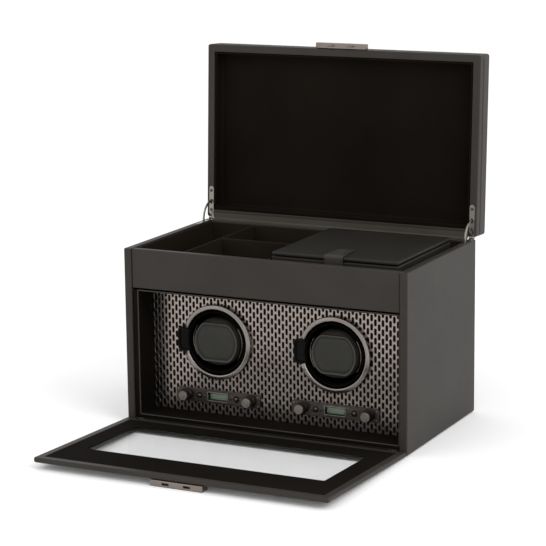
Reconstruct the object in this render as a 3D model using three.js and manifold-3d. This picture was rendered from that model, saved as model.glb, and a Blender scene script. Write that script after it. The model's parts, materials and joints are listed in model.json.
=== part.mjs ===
// Watch winder box: two motor-driven winding drums behind a glazed drop-down door,
// with a storage deck and a lift-out travel case under a hinged lid.
// Millimetres, +X right, +Y back, +Z up. The origin is the middle of the underside.
// The box is modelled open: lid up against its stop, door down on its latch plate.
import * as THREE from 'three';
import { mergeVertices } from 'three/addons/utils/BufferGeometryUtils.js';
import Module from 'manifold-3d';

const wasm = await Module();
wasm.setup();

// Driving dimensions
const gap = 0.3; // clearance between touching pieces
const bodyWidth = 343;
const bodyDepth = 199;
const bodyTop = 201;
const footLift = 1; // the side panels end this far above the table
const wall = 9;
const frontRecess = 1; // front boards sit this far behind the side panel edges
const nicheDepth = 34; // from the front edge back to the perforated plate
const nicheLeft = -154.5; // the niche's lining is thick on the left and thin on the right
const nicheRight = 160.6;
const nicheFloor = 9.5;
const nicheTop = 153;
const nicheSillTop = 12; // a raised lip along the front edge of the niche's floor
const boardThickness = 8; // front and back boards
const baseThickness = 7;
const frontPanelBottom = 156.5;
const deckBottom = 155; // storage deck
const deckTop = 159;
const doorThickness = 5.8;
const doorTop = 199.7; // height of the door's free edge when shut
const doorTilt = 2; // degrees up at the free edge when it lies open on its latch plate
const lidHeight = 28.5;
const lidOverhang = 0.25; // beyond the side panels
const lidTopThickness = 5;
const lidOpen = 92.8; // degrees
const moduleX = 72.5; // winder centre, each side of the middle
const moduleZ = 95.5;
const drumRadius = 35.8;
const drumWall = 2.4;
const motorOffset = { x: -41, z: -28.7 }; // motor axis seen from the drum axis
const drumPulleyRadius = 22;
const motorPulleyRadius = 5.5;
const controlZ = 31.5;
const knobSpread = 40;
const buttonSpread = 23.3;

// Planes worked out from them
const halfWidth = bodyWidth / 2;
const front = -bodyDepth / 2;
const back = bodyDepth / 2;
const sideInner = halfWidth - wall;
const boardHalf = sideInner - gap; // half width of a board between the side panels
const boardFront = front + frontRecess;
const backBoardFront = back - boardThickness;
const plateFront = front + nicheDepth;
const plateThickness = 1.5;
const moduleFront = plateFront + plateThickness + gap;
const doorPivot = { y: front - 0.4 - doorThickness / 2, z: 3.3 };
const doorOuter = doorPivot.y - doorThickness / 2;
const lidPivot = { y: back + 1, z: bodyTop + 1.2 };
const lidBottom = bodyTop + gap;
const lidTop = lidBottom + lidHeight;
const lidFront = doorOuter - 0.2;
const lidHalf = halfWidth + lidOverhang;

// Finishes
const finish = (color, roughness, metalness) => () => (
  new THREE.MeshStandardMaterial({ color, roughness, metalness })
);
const leather = finish(0x35312e, 0.6, 0);
const suede = finish(0x15120f, 0.95, 0);
const board = finish(0x1d1a18, 0.8, 0);
const bronze = finish(0x8d7b70, 0.4, 0.8);
const steel = finish(0xa9a6a2, 0.35, 0.9);
const plastic = finish(0x121212, 0.5, 0);
const glass = finish(0xcfe3dc, 0.05, 0);
const screen = finish(0x6f806f, 0.3, 0);
const laminate = finish(0x1f5a38, 0.6, 0);
const rubber = finish(0x1a1a1a, 0.9, 0);

// Shape helpers
function box(x, y, z) {
  const shape = new THREE.BoxGeometry(x[1] - x[0], y[1] - y[0], z[1] - z[0]);
  return shape.translate((x[0] + x[1]) / 2, (y[0] + y[1]) / 2, (z[0] + z[1]) / 2);
}

function roundedRect(width, height, radius, centre = [0, 0]) {
  const [cx, cy] = centre;
  const right = cx + width / 2 - radius;
  const left = cx - width / 2 + radius;
  const top = cy + height / 2 - radius;
  const bottom = cy - height / 2 + radius;
  const outline = new THREE.Shape();
  outline.absarc(right, top, radius, 0, Math.PI / 2);
  outline.absarc(left, top, radius, Math.PI / 2, Math.PI);
  outline.absarc(left, bottom, radius, Math.PI, 1.5 * Math.PI);
  outline.absarc(right, bottom, radius, 1.5 * Math.PI, 2 * Math.PI);
  outline.closePath();
  return outline;
}

function sectorShape(inner, outer, from, to) {
  const outline = new THREE.Shape();
  outline.absarc(0, 0, outer, from, to, false);
  outline.absarc(0, 0, inner, to, from, true);
  outline.closePath();
  return outline;
}

function solidify(shape, depth, curveSegments) {
  return new THREE.ExtrudeGeometry(shape, { depth, curveSegments, bevelEnabled: false });
}

// An outline drawn in Y and Z, carried along X
function prismX(shape, x, curveSegments = 6) {
  const turn = new THREE.Matrix4().makeBasis(
    new THREE.Vector3(0, 1, 0), new THREE.Vector3(0, 0, 1), new THREE.Vector3(1, 0, 0),
  );
  const solid = solidify(shape, x[1] - x[0], curveSegments).applyMatrix4(turn);
  return solid.translate(x[0], 0, 0);
}

// An outline drawn in X and Z, carried along Y
function prismY(shape, y, curveSegments = 6) {
  const turn = new THREE.Matrix4().makeBasis(
    new THREE.Vector3(1, 0, 0), new THREE.Vector3(0, 0, 1), new THREE.Vector3(0, -1, 0),
  );
  const solid = solidify(shape, y[1] - y[0], curveSegments).applyMatrix4(turn);
  return solid.translate(0, y[1], 0);
}

function rodX(radius, x, y, z, segments = 12) {
  const rod = new THREE.CylinderGeometry(radius, radius, x[1] - x[0], segments);
  return rod.rotateZ(Math.PI / 2).translate((x[0] + x[1]) / 2, y, z);
}

function rodY(radius, x, y, z, segments = 12) {
  const rod = new THREE.CylinderGeometry(radius, radius, y[1] - y[0], segments);
  return rod.translate(x, (y[0] + y[1]) / 2, z);
}

// A closed profile of [radius, y] points turned about a Y axis through x, z
function turned(profile, x, z, segments = 20) {
  const points = profile.map(([r, y]) => new THREE.Vector2(r, y));
  return new THREE.LatheGeometry(points, segments).translate(x, 0, z);
}

function toManifold(geometry) {
  const plain = geometry.clone();
  plain.deleteAttribute('normal');
  plain.deleteAttribute('uv');
  const merged = mergeVertices(plain, 1e-4);
  return new wasm.Manifold(new wasm.Mesh({
    numProp: 3,
    vertProperties: new Float32Array(merged.attributes.position.array),
    triVerts: new Uint32Array(merged.index.array),
  }));
}

function fromManifold(solid) {
  const mesh = solid.getMesh();
  const geometry = new THREE.BufferGeometry();
  geometry.setAttribute('position', new THREE.BufferAttribute(mesh.vertProperties, 3));
  geometry.setIndex(new THREE.BufferAttribute(mesh.triVerts, 1));
  geometry.computeVertexNormals();
  return geometry;
}

function join(first, ...others) {
  return fromManifold(others.reduce((solid, g) => solid.add(toManifold(g)), toManifold(first)));
}

function cut(first, ...others) {
  return fromManifold(
    others.reduce((solid, g) => solid.subtract(toManifold(g)), toManifold(first)),
  );
}

const part = new THREE.Group();

function piece(name, geometry, material, parent = part) {
  const mesh = new THREE.Mesh(geometry, material());
  mesh.name = name;
  parent.add(mesh);
  return mesh;
}

// A group whose contents are drawn in their shut place and turned about an X axis
function swungGroup(pivot, degrees) {
  const outer = new THREE.Group();
  outer.position.set(0, pivot.y, pivot.z);
  outer.rotation.x = THREE.MathUtils.degToRad(degrees);
  const inner = new THREE.Group();
  inner.position.set(0, -pivot.y, -pivot.z);
  outer.add(inner);
  part.add(outer);
  return inner;
}

// Quadrant stay hinge: leaf, knuckle and slot sizes, shared by body, lid and stay
const hinge = {
  x: halfWidth - 5.4,
  leafHalf: 3.1,
  leafFrom: lidPivot.y - 38,
  leafThickness: 1,
  knuckle: 2.2,
  pin: 0.9,
  stayInner: 19,
  stayOuter: 21.6,
  stayHalf: 0.9,
  room: 0.5,
};
const degrees = THREE.MathUtils.degToRad;

function aboutLidPivot(geometry) {
  return geometry.translate(0, lidPivot.y, lidPivot.z);
}

function stayPocket(x, from, to) {
  const half = hinge.stayHalf + hinge.room;
  const shape = sectorShape(
    hinge.stayInner - hinge.room, hinge.stayOuter + hinge.room, degrees(from), degrees(to),
  );
  return aboutLidPivot(prismX(shape, [x - half, x + half]));
}

function knuckleRoom(x) {
  const half = hinge.leafHalf + gap;
  return rodX(hinge.knuckle + 0.6, [x - half, x + half], lidPivot.y, lidPivot.z);
}

function bodyHingeLeaf(x) {
  const { leafHalf, leafThickness, knuckle, pin } = hinge;
  const top = bodyTop + 0.1;
  const plate = box(
    [x - leafHalf, x + leafHalf], [hinge.leafFrom, back - 3.4], [top - leafThickness, top],
  );
  const tongue = box([x - leafHalf, x - gap], [back - 5, lidPivot.y], [top - leafThickness, top]);
  const barrel = rodX(knuckle, [x - leafHalf, x - gap], lidPivot.y, lidPivot.z);
  const pinRod = rodX(pin, [x - leafHalf, x + leafHalf], lidPivot.y, lidPivot.z, 12);
  return cut(join(plate, tongue, barrel, pinRod), stayPocket(x, 170, 200));
}

function lidHingeLeaf(x) {
  const { leafHalf, leafThickness, knuckle, pin } = hinge;
  const bottom = lidBottom + 0.1;
  const plate = box(
    [x - leafHalf, x + leafHalf], [hinge.leafFrom, back - 3.4], [bottom, bottom + leafThickness],
  );
  const tongue = box([x, x + leafHalf], [back - 5, lidPivot.y], [bottom, bottom + leafThickness]);
  const barrel = rodX(knuckle, [x, x + leafHalf], lidPivot.y, lidPivot.z);
  const bore = rodX(pin + gap, [x - 1, x + leafHalf + 1], lidPivot.y, lidPivot.z, 12);
  return cut(join(plate, tongue, barrel), bore, stayPocket(x, 165, 195));
}

function leafRecess(x, z) {
  const half = hinge.leafHalf + gap;
  return box([x - half, x + half], [hinge.leafFrom - gap, back + 1], z);
}

// Cabinet
function sidePanel(side) {
  const edges = [side * sideInner, side * halfWidth].sort((a, b) => a - b);
  const x = side * hinge.x;
  return cut(
    box(edges, [front, back], [footLift, bodyTop]),
    leafRecess(x, [bodyTop - hinge.leafThickness - 0.2, bodyTop + 1]),
    knuckleRoom(x),
    stayPocket(x, 175, 238),
  );
}

const jack = { x: 110, z: 30, radius: 5.5, flange: 8, bore: 3, front: 78 };

function backPanel() {
  const panel = box([-boardHalf, boardHalf], [backBoardFront, back], [footLift, bodyTop]);
  return cut(panel, rodY(jack.radius + gap, jack.x, [backBoardFront - 1, back + 1], jack.z, 16));
}

function powerJack() {
  return turned([
    [0, jack.front], [jack.radius, jack.front], [jack.radius, back + gap], [jack.flange, back + gap],
    [jack.flange, back + 1.8], [jack.bore, back + 1.8], [jack.bore, back - 8], [0, back - 8],
  ], jack.x, jack.z, 16);
}

function nicheLining() {
  const y = [boardFront + 0.5, plateFront - gap];
  const outline = new THREE.Shape();
  const outerTop = deckBottom - gap;
  const outerBottom = baseThickness + gap;
  outline.moveTo(-boardHalf, outerBottom);
  outline.lineTo(boardHalf, outerBottom);
  outline.lineTo(boardHalf, outerTop);
  outline.lineTo(-boardHalf, outerTop);
  outline.closePath();
  const hole = new THREE.Path();
  hole.moveTo(nicheLeft, nicheFloor);
  hole.lineTo(nicheLeft, nicheTop);
  hole.lineTo(nicheRight, nicheTop);
  hole.lineTo(nicheRight, nicheFloor);
  hole.closePath();
  outline.holes.push(hole);
  const sill = box([nicheLeft - 1, nicheRight + 1], [y[0], y[0] + 3], [outerBottom, nicheSillTop]);
  return join(prismY(outline, y), sill);
}

function perforatedPlate() {
  const y = [plateFront, plateFront + plateThickness];
  const through = [y[0] - 1, y[1] + 1];
  const holes = [];
  for (const side of [-1, 1]) {
    holes.push(rodY(drumRadius + 0.8, side * moduleX, through, moduleZ, 32));
    for (const dx of [-knobSpread, -buttonSpread, buttonSpread, knobSpread]) {
      holes.push(rodY(3.1, side * moduleX + dx, through, controlZ, 8));
    }
  }
  const plate = box([-boardHalf, boardHalf], y, [baseThickness + gap, deckBottom - gap]);
  return cut(plate, ...holes);
}

const dividers = { top: 198.2, longX: [-107.5, -104.5], crossY: [9, 12], caseX: [-4, -1] };

function storageDividers() {
  const y = [boardFront + boardThickness + gap, backBoardFront - gap];
  const z = [deckTop + gap, dividers.top];
  const long = box(dividers.longX, y, z);
  const cross = box([dividers.longX[1] - 0.5, dividers.caseX[0] + 1], dividers.crossY, z);
  const caseWall = box(dividers.caseX, y, z);
  return join(long, cross, caseWall);
}

function buildCabinet() {
  for (const [name, side] of [['left', -1], ['right', 1]]) {
    piece(`${name}_side_panel`, sidePanel(side), leather);
    piece(`${name}_body_hinge_leaf`, bodyHingeLeaf(side * hinge.x), steel);
  }
  piece('back_panel', backPanel(), leather);
  const bottomY = [boardFront, backBoardFront - gap];
  piece('bottom_panel', box([-boardHalf, boardHalf], bottomY, [0, baseThickness]), board);
  const frontY = [boardFront, boardFront + boardThickness];
  piece('front_panel', box([-boardHalf, boardHalf], frontY, [frontPanelBottom, bodyTop]), leather);
  const deckY = [frontY[1] + gap, bottomY[1]];
  piece('storage_deck', box([-boardHalf, boardHalf], deckY, [deckBottom, deckTop]), suede);
  piece('niche_lining', nicheLining(), suede);
  piece('perforated_plate', perforatedPlate(), bronze);
  piece('storage_dividers', storageDividers(), suede);
  piece('power_jack', powerJack(), plastic);
  piece('control_board', controlBoard(), laminate);
}

// Winder modules
function controlBoard() {
  return box([-125, 125], [moduleFront + 1.5, moduleFront + 3.1], [20, 44]);
}

const housingShell = { half: 58, wall: 2.5, back: -8, z: [50, 150] };

function housing(cx) {
  const { half, wall: side, z } = housingShell;
  const y = [moduleFront, housingShell.back];
  const shell = box([cx - half, cx + half], y, z);
  const inside = box(
    [cx - half + side, cx + half - side], [y[0] - 1, y[1] - 4], [z[0] + side, z[1] - side],
  );
  const through = [y[1] - 6, y[1] + 2];
  const bearingSeat = rodY(11.5, cx, through, moduleZ, 20);
  const motorBoss = rodY(3.2, cx + motorOffset.x, through, moduleZ + motorOffset.z, 12);
  return cut(shell, inside, bearingSeat, motorBoss);
}

// The finger notch at the left of each ring
const notch = { from: -50, to: -30, below: 13.5, above: 12 };

function bezelRing(cx) {
  const y0 = plateFront - gap;
  const ring = turned([
    [37.2, y0], [43, y0], [43, y0 - 2.6], [42.2, y0 - 4.8], [40.6, y0 - 5.8],
    [38.6, y0 - 5.4], [37.2, y0 - 3.6], [37.2, y0],
  ].reverse(), cx, moduleZ, 36);
  const opening = box(
    [cx + notch.from, cx + notch.to],
    [y0 - 10, y0 + 1],
    [moduleZ - notch.below, moduleZ + notch.above],
  );
  return cut(ring, opening);
}

function drum(cx) {
  const inner = drumRadius - drumWall;
  const rim = plateFront - 5;
  return turned([
    [4.3, -16], [4.3, -18.5], [inner, -18.5], [inner, rim], [drumRadius, rim],
    [drumRadius, -16], [4.3, -16],
  ], cx, moduleZ, 32);
}

function drumPulley(cx) {
  const r = drumPulleyRadius;
  return turned([
    [0, -18.8], [4, -18.8], [4, -15.7], [9, -15.7], [9, -13.4], [4, -13.4], [4, -5],
    [r + 2, -5], [r + 2, -4], [r, -4], [r, 0], [0, 0],
  ], cx, moduleZ, 18);
}

function bearing(cx) {
  return turned([[4.3, -12.8], [11, -12.8], [11, -7.6], [4.3, -7.6], [4.3, -12.8]], cx, moduleZ);
}

function motor(cx) {
  return turned([
    [0, -42], [12, -42], [12, -12.3 - gap], [1.6, -12.3 - gap], [1.6, -25], [0, -25],
  ], cx + motorOffset.x, moduleZ + motorOffset.z, 16);
}

function motorPulley(cx) {
  const r = motorPulleyRadius;
  return turned([
    [0, -24.5], [1.2, -24.5], [1.2, -5], [r + 1.5, -5], [r + 1.5, -4], [r, -4], [r, 0], [0, 0],
  ], cx + motorOffset.x, moduleZ + motorOffset.z, 14);
}

// A flat belt round both pulleys: two arcs joined by their outer tangents
function beltLoop(bigRadius, smallRadius, dx, dz, Outline) {
  const distance = Math.hypot(dx, dz);
  const heading = Math.atan2(dz, dx);
  const spread = Math.acos((bigRadius - smallRadius) / distance);
  const loop = new Outline();
  loop.absarc(0, 0, bigRadius, heading + spread, heading - spread + 2 * Math.PI, false);
  loop.absarc(dx, dz, smallRadius, heading - spread, heading + spread, false);
  loop.closePath();
  return loop;
}

function belt(cx) {
  const { x, z } = motorOffset;
  const inner = gap;
  const outer = gap + 1.2;
  const loop = beltLoop(drumPulleyRadius + outer, motorPulleyRadius + outer, x, z, THREE.Shape);
  loop.holes.push(beltLoop(drumPulleyRadius + inner, motorPulleyRadius + inner, x, z, THREE.Path));
  return prismY(loop, [-3.4, -0.6], 8).translate(cx, 0, moduleZ);
}

// The cuff a watch is buckled round: a cushion with a face pad, on a plastic core
const cuff = {
  front: plateFront - 6.5,
  face: { radius: 27, halfHeight: 22, thickness: 3.4 },
  cushion: { radius: 28.4, halfHeight: 27, back: -40 },
  wing: { inner: 29.6, outer: 31.4, spread: 0.7, setBack: 6 },
  disc: { radius: 31, y: [-22, -19.1] },
};

// A circle cut flat at top and bottom
function barrelOutline({ radius, halfHeight }) {
  const rise = Math.asin(halfHeight / radius);
  const outline = new THREE.Shape();
  outline.absarc(0, 0, radius, -rise, rise, false);
  outline.absarc(0, 0, radius, Math.PI - rise, Math.PI + rise, false);
  outline.closePath();
  return outline;
}

function cuffCore(cx) {
  const { wing, disc } = cuff;
  const base = disc.y[0] + 1;
  const block = prismY(roundedRect(44, 40, 9), [cuff.cushion.back + gap, base], 3);
  const wings = [0, Math.PI].map((angle) => prismY(
    sectorShape(wing.inner, wing.outer, angle - wing.spread, angle + wing.spread),
    [cuff.front + wing.setBack, base],
    5,
  ));
  const plate = rodY(disc.radius, 0, disc.y, 0, 24);
  return join(plate, block, ...wings).translate(cx, 0, moduleZ);
}

function cuffPad(cx) {
  const faceBack = cuff.front + cuff.face.thickness;
  const face = prismY(barrelOutline(cuff.face), [cuff.front, faceBack + 0.5], 7);
  const cushion = prismY(barrelOutline(cuff.cushion), [faceBack, cuff.cushion.back], 7);
  return join(face, cushion).translate(cx, 0, moduleZ);
}

const controlPlate = { halfWidth: 53, halfHeight: 8, thickness: 2.2 };
const display = { halfWidth: 12.3, halfHeight: 4.6 };

function controlPlateSolid(cx) {
  const y1 = plateFront - gap;
  const y0 = y1 - controlPlate.thickness;
  const outline = roundedRect(2 * controlPlate.halfWidth, 2 * controlPlate.halfHeight, 3);
  const plate = prismY(outline, [y0, y1], 2).translate(cx, 0, controlZ);
  const through = [y0 - 1, y1 + 1];
  const holes = [-knobSpread, -buttonSpread, buttonSpread, knobSpread].map((dx) => (
    rodY(3, cx + dx, through, controlZ, 8)
  ));
  const window = box(
    [cx - display.halfWidth - gap, cx + display.halfWidth + gap],
    through,
    [controlZ - display.halfHeight - gap, controlZ + display.halfHeight + gap],
  );
  return cut(plate, window, ...holes);
}

function displayPanel(cx) {
  const y1 = plateFront - gap;
  return box(
    [cx - display.halfWidth, cx + display.halfWidth],
    [y1 - controlPlate.thickness - 0.4, y1],
    [controlZ - display.halfHeight, controlZ + display.halfHeight],
  );
}

function knob(x) {
  const faceBack = plateFront - gap - controlPlate.thickness - 0.6;
  return turned([
    [0, faceBack - 9.5], [5.4, faceBack - 9.5], [6.6, faceBack - 8.6], [6.6, faceBack - 2],
    [7.2, faceBack - 2], [7.2, faceBack], [2.2, faceBack], [2.2, moduleFront + 1], [0, moduleFront + 1],
  ], x, controlZ, 14);
}

function button(x) {
  const faceBack = plateFront - gap - controlPlate.thickness;
  return turned([
    [0, faceBack - 1.6], [2.2, faceBack - 1.6], [2.6, faceBack - 1.2], [2.6, moduleFront - 0.2],
    [0, moduleFront - 0.2],
  ], x, controlZ, 10);
}

function buildWinder(side, cx) {
  piece(`${side}_bezel_ring`, bezelRing(cx), bronze);
  piece(`${side}_winder_housing`, housing(cx), plastic);
  piece(`${side}_bearing`, bearing(cx), steel);
  piece(`${side}_motor`, motor(cx), steel);
  piece(`${side}_motor_pulley`, motorPulley(cx), plastic);
  piece(`${side}_drive_belt`, belt(cx), rubber);
  piece(`${side}_drum`, drum(cx), plastic);
  piece(`${side}_drum_pulley`, drumPulley(cx), plastic);
  piece(`${side}_cuff_core`, cuffCore(cx), plastic);
  piece(`${side}_cuff_pad`, cuffPad(cx), leather);
  piece(`${side}_control_plate`, controlPlateSolid(cx), bronze);
  piece(`${side}_display`, displayPanel(cx), screen);
  piece(`${side}_turns_knob`, knob(cx - knobSpread), bronze);
  piece(`${side}_direction_knob`, knob(cx + knobSpread), bronze);
  piece(`${side}_start_button`, button(cx - buttonSpread), plastic);
  piece(`${side}_mode_button`, button(cx + buttonSpread), plastic);
}

// Drop-down door, drawn shut
const window = { halfWidth: 140, bottom: 37, top: 142, rebate: 4, stop: 1.1 };
const ear = { x: 155, half: 2, plateHalf: 5 };
const latch = { halfWidth: 30.5, height: 12, proud: 6.6, slotX: 12.4, slotHalf: 4.2 };

function doorFrame() {
  const { y, z } = doorPivot;
  const half = doorThickness / 2;
  const side = new THREE.Shape();
  side.moveTo(y + half, z);
  side.lineTo(y + half, doorTop);
  side.lineTo(y - half, doorTop);
  side.absarc(y, z, half, Math.PI, 2 * Math.PI, false);
  side.closePath();
  const slab = prismX(side, [-halfWidth, halfWidth], 6);
  const through = [y - half - 1, y + half + 1];
  const opening = box([-window.halfWidth, window.halfWidth], through, [window.bottom, window.top]);
  const rebateHalf = window.halfWidth + window.rebate;
  const rebate = box(
    [-rebateHalf, rebateHalf],
    [y - window.stop, y + half + 1],
    [window.bottom - window.rebate, window.top + window.rebate],
  );
  const bore = rodX(1.4, [-halfWidth + 6, halfWidth - 6], y, z, 12);
  const notches = [-1, 1].map((sign) => box(
    [sign * ear.x - ear.half - 0.5, sign * ear.x + ear.half + 0.5], through, [-1, z + 4],
  ));
  return cut(slab, opening, rebate, bore, ...notches);
}

function doorGlass() {
  const half = window.halfWidth + window.rebate - gap;
  return box(
    [-half, half],
    [doorPivot.y - window.stop + gap, doorPivot.y + 1.9],
    [window.bottom - window.rebate + gap, window.top + window.rebate - gap],
  );
}

function doorLatch() {
  const outer = doorOuter - gap;
  const plate = box(
    [-latch.halfWidth, latch.halfWidth],
    [outer - latch.proud, outer],
    [doorTop - latch.height, doorTop],
  );
  const slots = [-1, 1].map((sign) => box(
    [sign * latch.slotX - latch.slotHalf, sign * latch.slotX + latch.slotHalf],
    [outer - latch.proud + 2, outer - 2],
    [doorTop - 5, doorTop + 1],
  ));
  return cut(plate, ...slots);
}

// A full-width rod in the door's bottom edge, carried by two ears on the bottom board
function doorHingeRod() {
  const { y, z } = doorPivot;
  const rod = rodX(1.1, [-halfWidth + 7, halfWidth - 7], y, z, 10);
  const ears = [-1, 1].flatMap((sign) => {
    const x = sign * ear.x;
    const plate = box(
      [x - ear.plateHalf, x + ear.plateHalf],
      [boardFront - gap - 0.9, boardFront - gap],
      [1.4, 6.6],
    );
    const arm = box([x - ear.half, x + ear.half], [y, boardFront - gap - 0.4], [z - 1.6, z + 1.6]);
    const eye = rodX(2.3, [x - ear.half, x + ear.half], y, z, 12);
    return [plate, arm, eye];
  });
  return join(rod, ...ears);
}

function buildDoor() {
  piece('door_hinge_rod', doorHingeRod(), steel);
  const door = swungGroup(doorPivot, 90 - doorTilt);
  piece('door_frame', doorFrame(), leather, door);
  piece('door_glass', doorGlass(), glass, door);
  piece('door_latch_plate', doorLatch(), bronze, door);
}

// Lid, drawn shut
const coverFrom = lidBottom + 10.3; // the metal cover wraps the lid above this height
const coverWall = 1.2;
const lidRim = 8.8;

function lidFrame() {
  const skirt = box([-lidHalf, lidHalf], [lidFront, back], [lidBottom, coverFrom - gap]);
  const inset = coverWall + gap;
  const core = box(
    [-lidHalf + inset, lidHalf - inset],
    [lidFront + inset, back - inset],
    [lidBottom, lidTop - inset],
  );
  const cavity = box(
    [-halfWidth + lidRim, halfWidth - lidRim],
    [lidFront + lidRim, back - lidRim],
    [lidBottom - 1, lidTop - lidTopThickness],
  );
  const cuts = [-1, 1].flatMap((side) => {
    const x = side * hinge.x;
    return [
      leafRecess(x, [lidBottom - 1, lidBottom + hinge.leafThickness + 0.4]),
      knuckleRoom(x),
      stayPocket(x, 118, 185),
    ];
  });
  return cut(join(skirt, core), cavity, ...cuts);
}

function lidCover() {
  const shell = box([-lidHalf, lidHalf], [lidFront, back], [coverFrom, lidTop]);
  const inside = box(
    [-lidHalf + coverWall, lidHalf - coverWall],
    [lidFront + coverWall, back - coverWall],
    [coverFrom - 1, lidTop - coverWall],
  );
  return cut(shell, inside);
}

// A padded tray: thin walls and a thick ceiling
const padding = { wall: 2, depth: 15, setBack: 0.6 };

function lidLining() {
  const half = halfWidth - lidRim - gap;
  const y = [lidFront + lidRim + gap, back - lidRim - gap];
  const mouth = lidBottom + padding.setBack;
  const tray = box([-half, half], y, [mouth, lidTop - lidTopThickness - gap]);
  const hollow = box(
    [-half + padding.wall, half - padding.wall],
    [y[0] + padding.wall, y[1] - padding.wall],
    [mouth - 1, mouth + padding.depth],
  );
  return cut(tray, hollow);
}

const clasp = { halfWidth: 31.5, depth: 6.4, top: 8, hookHalf: 3.6, hookReach: 4.2 };

function lidClasp() {
  const y = [lidFront - gap - clasp.depth, lidFront - gap];
  const plate = box([-clasp.halfWidth, clasp.halfWidth], y, [lidBottom + gap, lidBottom + clasp.top]);
  const hooks = [-1, 1].map((sign) => box(
    [sign * latch.slotX - clasp.hookHalf, sign * latch.slotX + clasp.hookHalf],
    [y[0] + 2.6, y[1] - 2.6],
    [lidBottom - clasp.hookReach, lidBottom + 1],
  ));
  return join(plate, ...hooks);
}

function buildLid() {
  const lid = swungGroup(lidPivot, -lidOpen);
  piece('lid_frame', lidFrame(), leather, lid);
  piece('lid_cover', lidCover(), bronze, lid);
  piece('lid_lining', lidLining(), suede, lid);
  piece('lid_clasp', lidClasp(), bronze, lid);
  for (const [name, side] of [['left', -1], ['right', 1]]) {
    const x = side * hinge.x;
    piece(`${name}_lid_hinge_leaf`, lidHingeLeaf(x), steel, lid);
    // The stay floats between both leaves: half of it slides into each wall as the lid shuts
    const from = degrees(180 - lidOpen - 6);
    const arc = sectorShape(hinge.stayInner, hinge.stayOuter, from, degrees(186));
    const stay = aboutLidPivot(prismX(arc, [x - hinge.stayHalf, x + hinge.stayHalf], 10));
    piece(`${name}_stay_arm`, stay, steel);
  }
}

// Travel case standing in the right-hand compartment
const travel = {
  x: [1.5, 151.5], y: [-77, 75], bottom: deckTop + gap, rim: 201.6, lidTop: 206.6, wall: 4,
};
const strap = { half: 11, thickness: 2, from: 190, reach: 33, bend: 3 };

function travelCaseTray() {
  const { x, y, bottom, rim, wall: side } = travel;
  const tray = box(x, y, [bottom, rim]);
  const inside = box([x[0] + side, x[1] - side], [y[0] + side, y[1] - side], [bottom + side, rim + 1]);
  return cut(tray, inside);
}

function strapOutline() {
  const { thickness, from, reach, bend } = strap;
  const outer = travel.y[0] - gap - thickness;
  const top = travel.lidTop + gap + 2.2;
  const outline = new THREE.Shape();
  outline.moveTo(travel.y[0] + reach, top - thickness);
  outline.lineTo(travel.y[0] + reach, top);
  outline.absarc(outer + bend, top - bend, bend, Math.PI / 2, Math.PI, false);
  outline.lineTo(outer, from);
  outline.lineTo(outer + thickness, from);
  outline.lineTo(outer + thickness, top - thickness);
  outline.closePath();
  return outline;
}

function buildTravelCase() {
  piece('travel_case_tray', travelCaseTray(), leather);
  const { x, y, rim, lidTop: top } = travel;
  piece('travel_case_lid', box(x, y, [rim + 1, top]), leather);
  const middle = (x[0] + x[1]) / 2;
  piece('travel_case_strap', prismX(strapOutline(), [middle - strap.half, middle + strap.half], 5), leather);
}

buildCabinet();
buildWinder('left', -moduleX);
buildWinder('right', moduleX);
buildDoor();
buildLid();
buildTravelCase();

export default part;
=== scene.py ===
import json
import math
import bpy
import bmesh
import numpy as np
from mathutils import Matrix, Vector


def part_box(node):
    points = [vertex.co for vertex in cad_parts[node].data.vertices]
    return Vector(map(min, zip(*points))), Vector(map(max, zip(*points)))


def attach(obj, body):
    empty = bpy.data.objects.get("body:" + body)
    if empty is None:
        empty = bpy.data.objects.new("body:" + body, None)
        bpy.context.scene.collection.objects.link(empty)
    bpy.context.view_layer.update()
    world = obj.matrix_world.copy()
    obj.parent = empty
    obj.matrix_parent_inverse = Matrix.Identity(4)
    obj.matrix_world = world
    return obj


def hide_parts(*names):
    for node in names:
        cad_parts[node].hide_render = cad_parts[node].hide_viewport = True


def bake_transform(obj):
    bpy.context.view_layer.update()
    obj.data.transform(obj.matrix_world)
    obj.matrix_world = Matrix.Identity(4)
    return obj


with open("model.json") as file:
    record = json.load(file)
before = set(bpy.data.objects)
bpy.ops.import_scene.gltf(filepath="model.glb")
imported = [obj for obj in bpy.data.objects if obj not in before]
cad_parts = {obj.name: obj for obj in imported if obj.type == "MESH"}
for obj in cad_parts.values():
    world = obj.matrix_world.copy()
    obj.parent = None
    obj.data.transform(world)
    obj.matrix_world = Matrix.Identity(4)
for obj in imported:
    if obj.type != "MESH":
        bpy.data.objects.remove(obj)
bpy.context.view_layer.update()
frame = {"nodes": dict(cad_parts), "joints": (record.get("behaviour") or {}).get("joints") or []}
mm = 0.001  # lengths below are in millimetres unless a name says otherwise
print("frame loaded:", len(frame["nodes"]), "nodes")


camera = {
    "place": (1.030481, -2.144484, 0.671091),  # metres
    "azimuth": 26.17, "elevation": 12.14, "roll": -0.63,
    "lens": 142.44, "shiftX": -0.01720, "shiftY": 0.01340,
}


def makeCamera():
    # the camera looks back along a vector given by azimuth and elevation, then rolls about it
    a, e, r = (math.radians(camera[k]) for k in ("azimuth", "elevation", "roll"))
    back = Vector((math.sin(a) * math.cos(e), -math.cos(a) * math.cos(e), math.sin(e)))
    level = Vector((math.cos(a), math.sin(a), 0))
    upright = back.cross(level)
    right = level * math.cos(r) + upright * math.sin(r)
    up = upright * math.cos(r) - level * math.sin(r)
    data = bpy.data.cameras.new("camera")
    data.lens = camera["lens"]
    data.sensor_width = 36
    data.shift_x, data.shift_y = camera["shiftX"], camera["shiftY"]
    data.clip_start, data.clip_end = 0.05, 100
    eye = bpy.data.objects.new("camera", data)
    bpy.context.scene.collection.objects.link(eye)
    turn = Matrix((right, up, back)).transposed().to_4x4()
    eye.matrix_world = Matrix.Translation(Vector(camera["place"])) @ turn
    bpy.context.scene.camera = eye


makeCamera()


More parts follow.
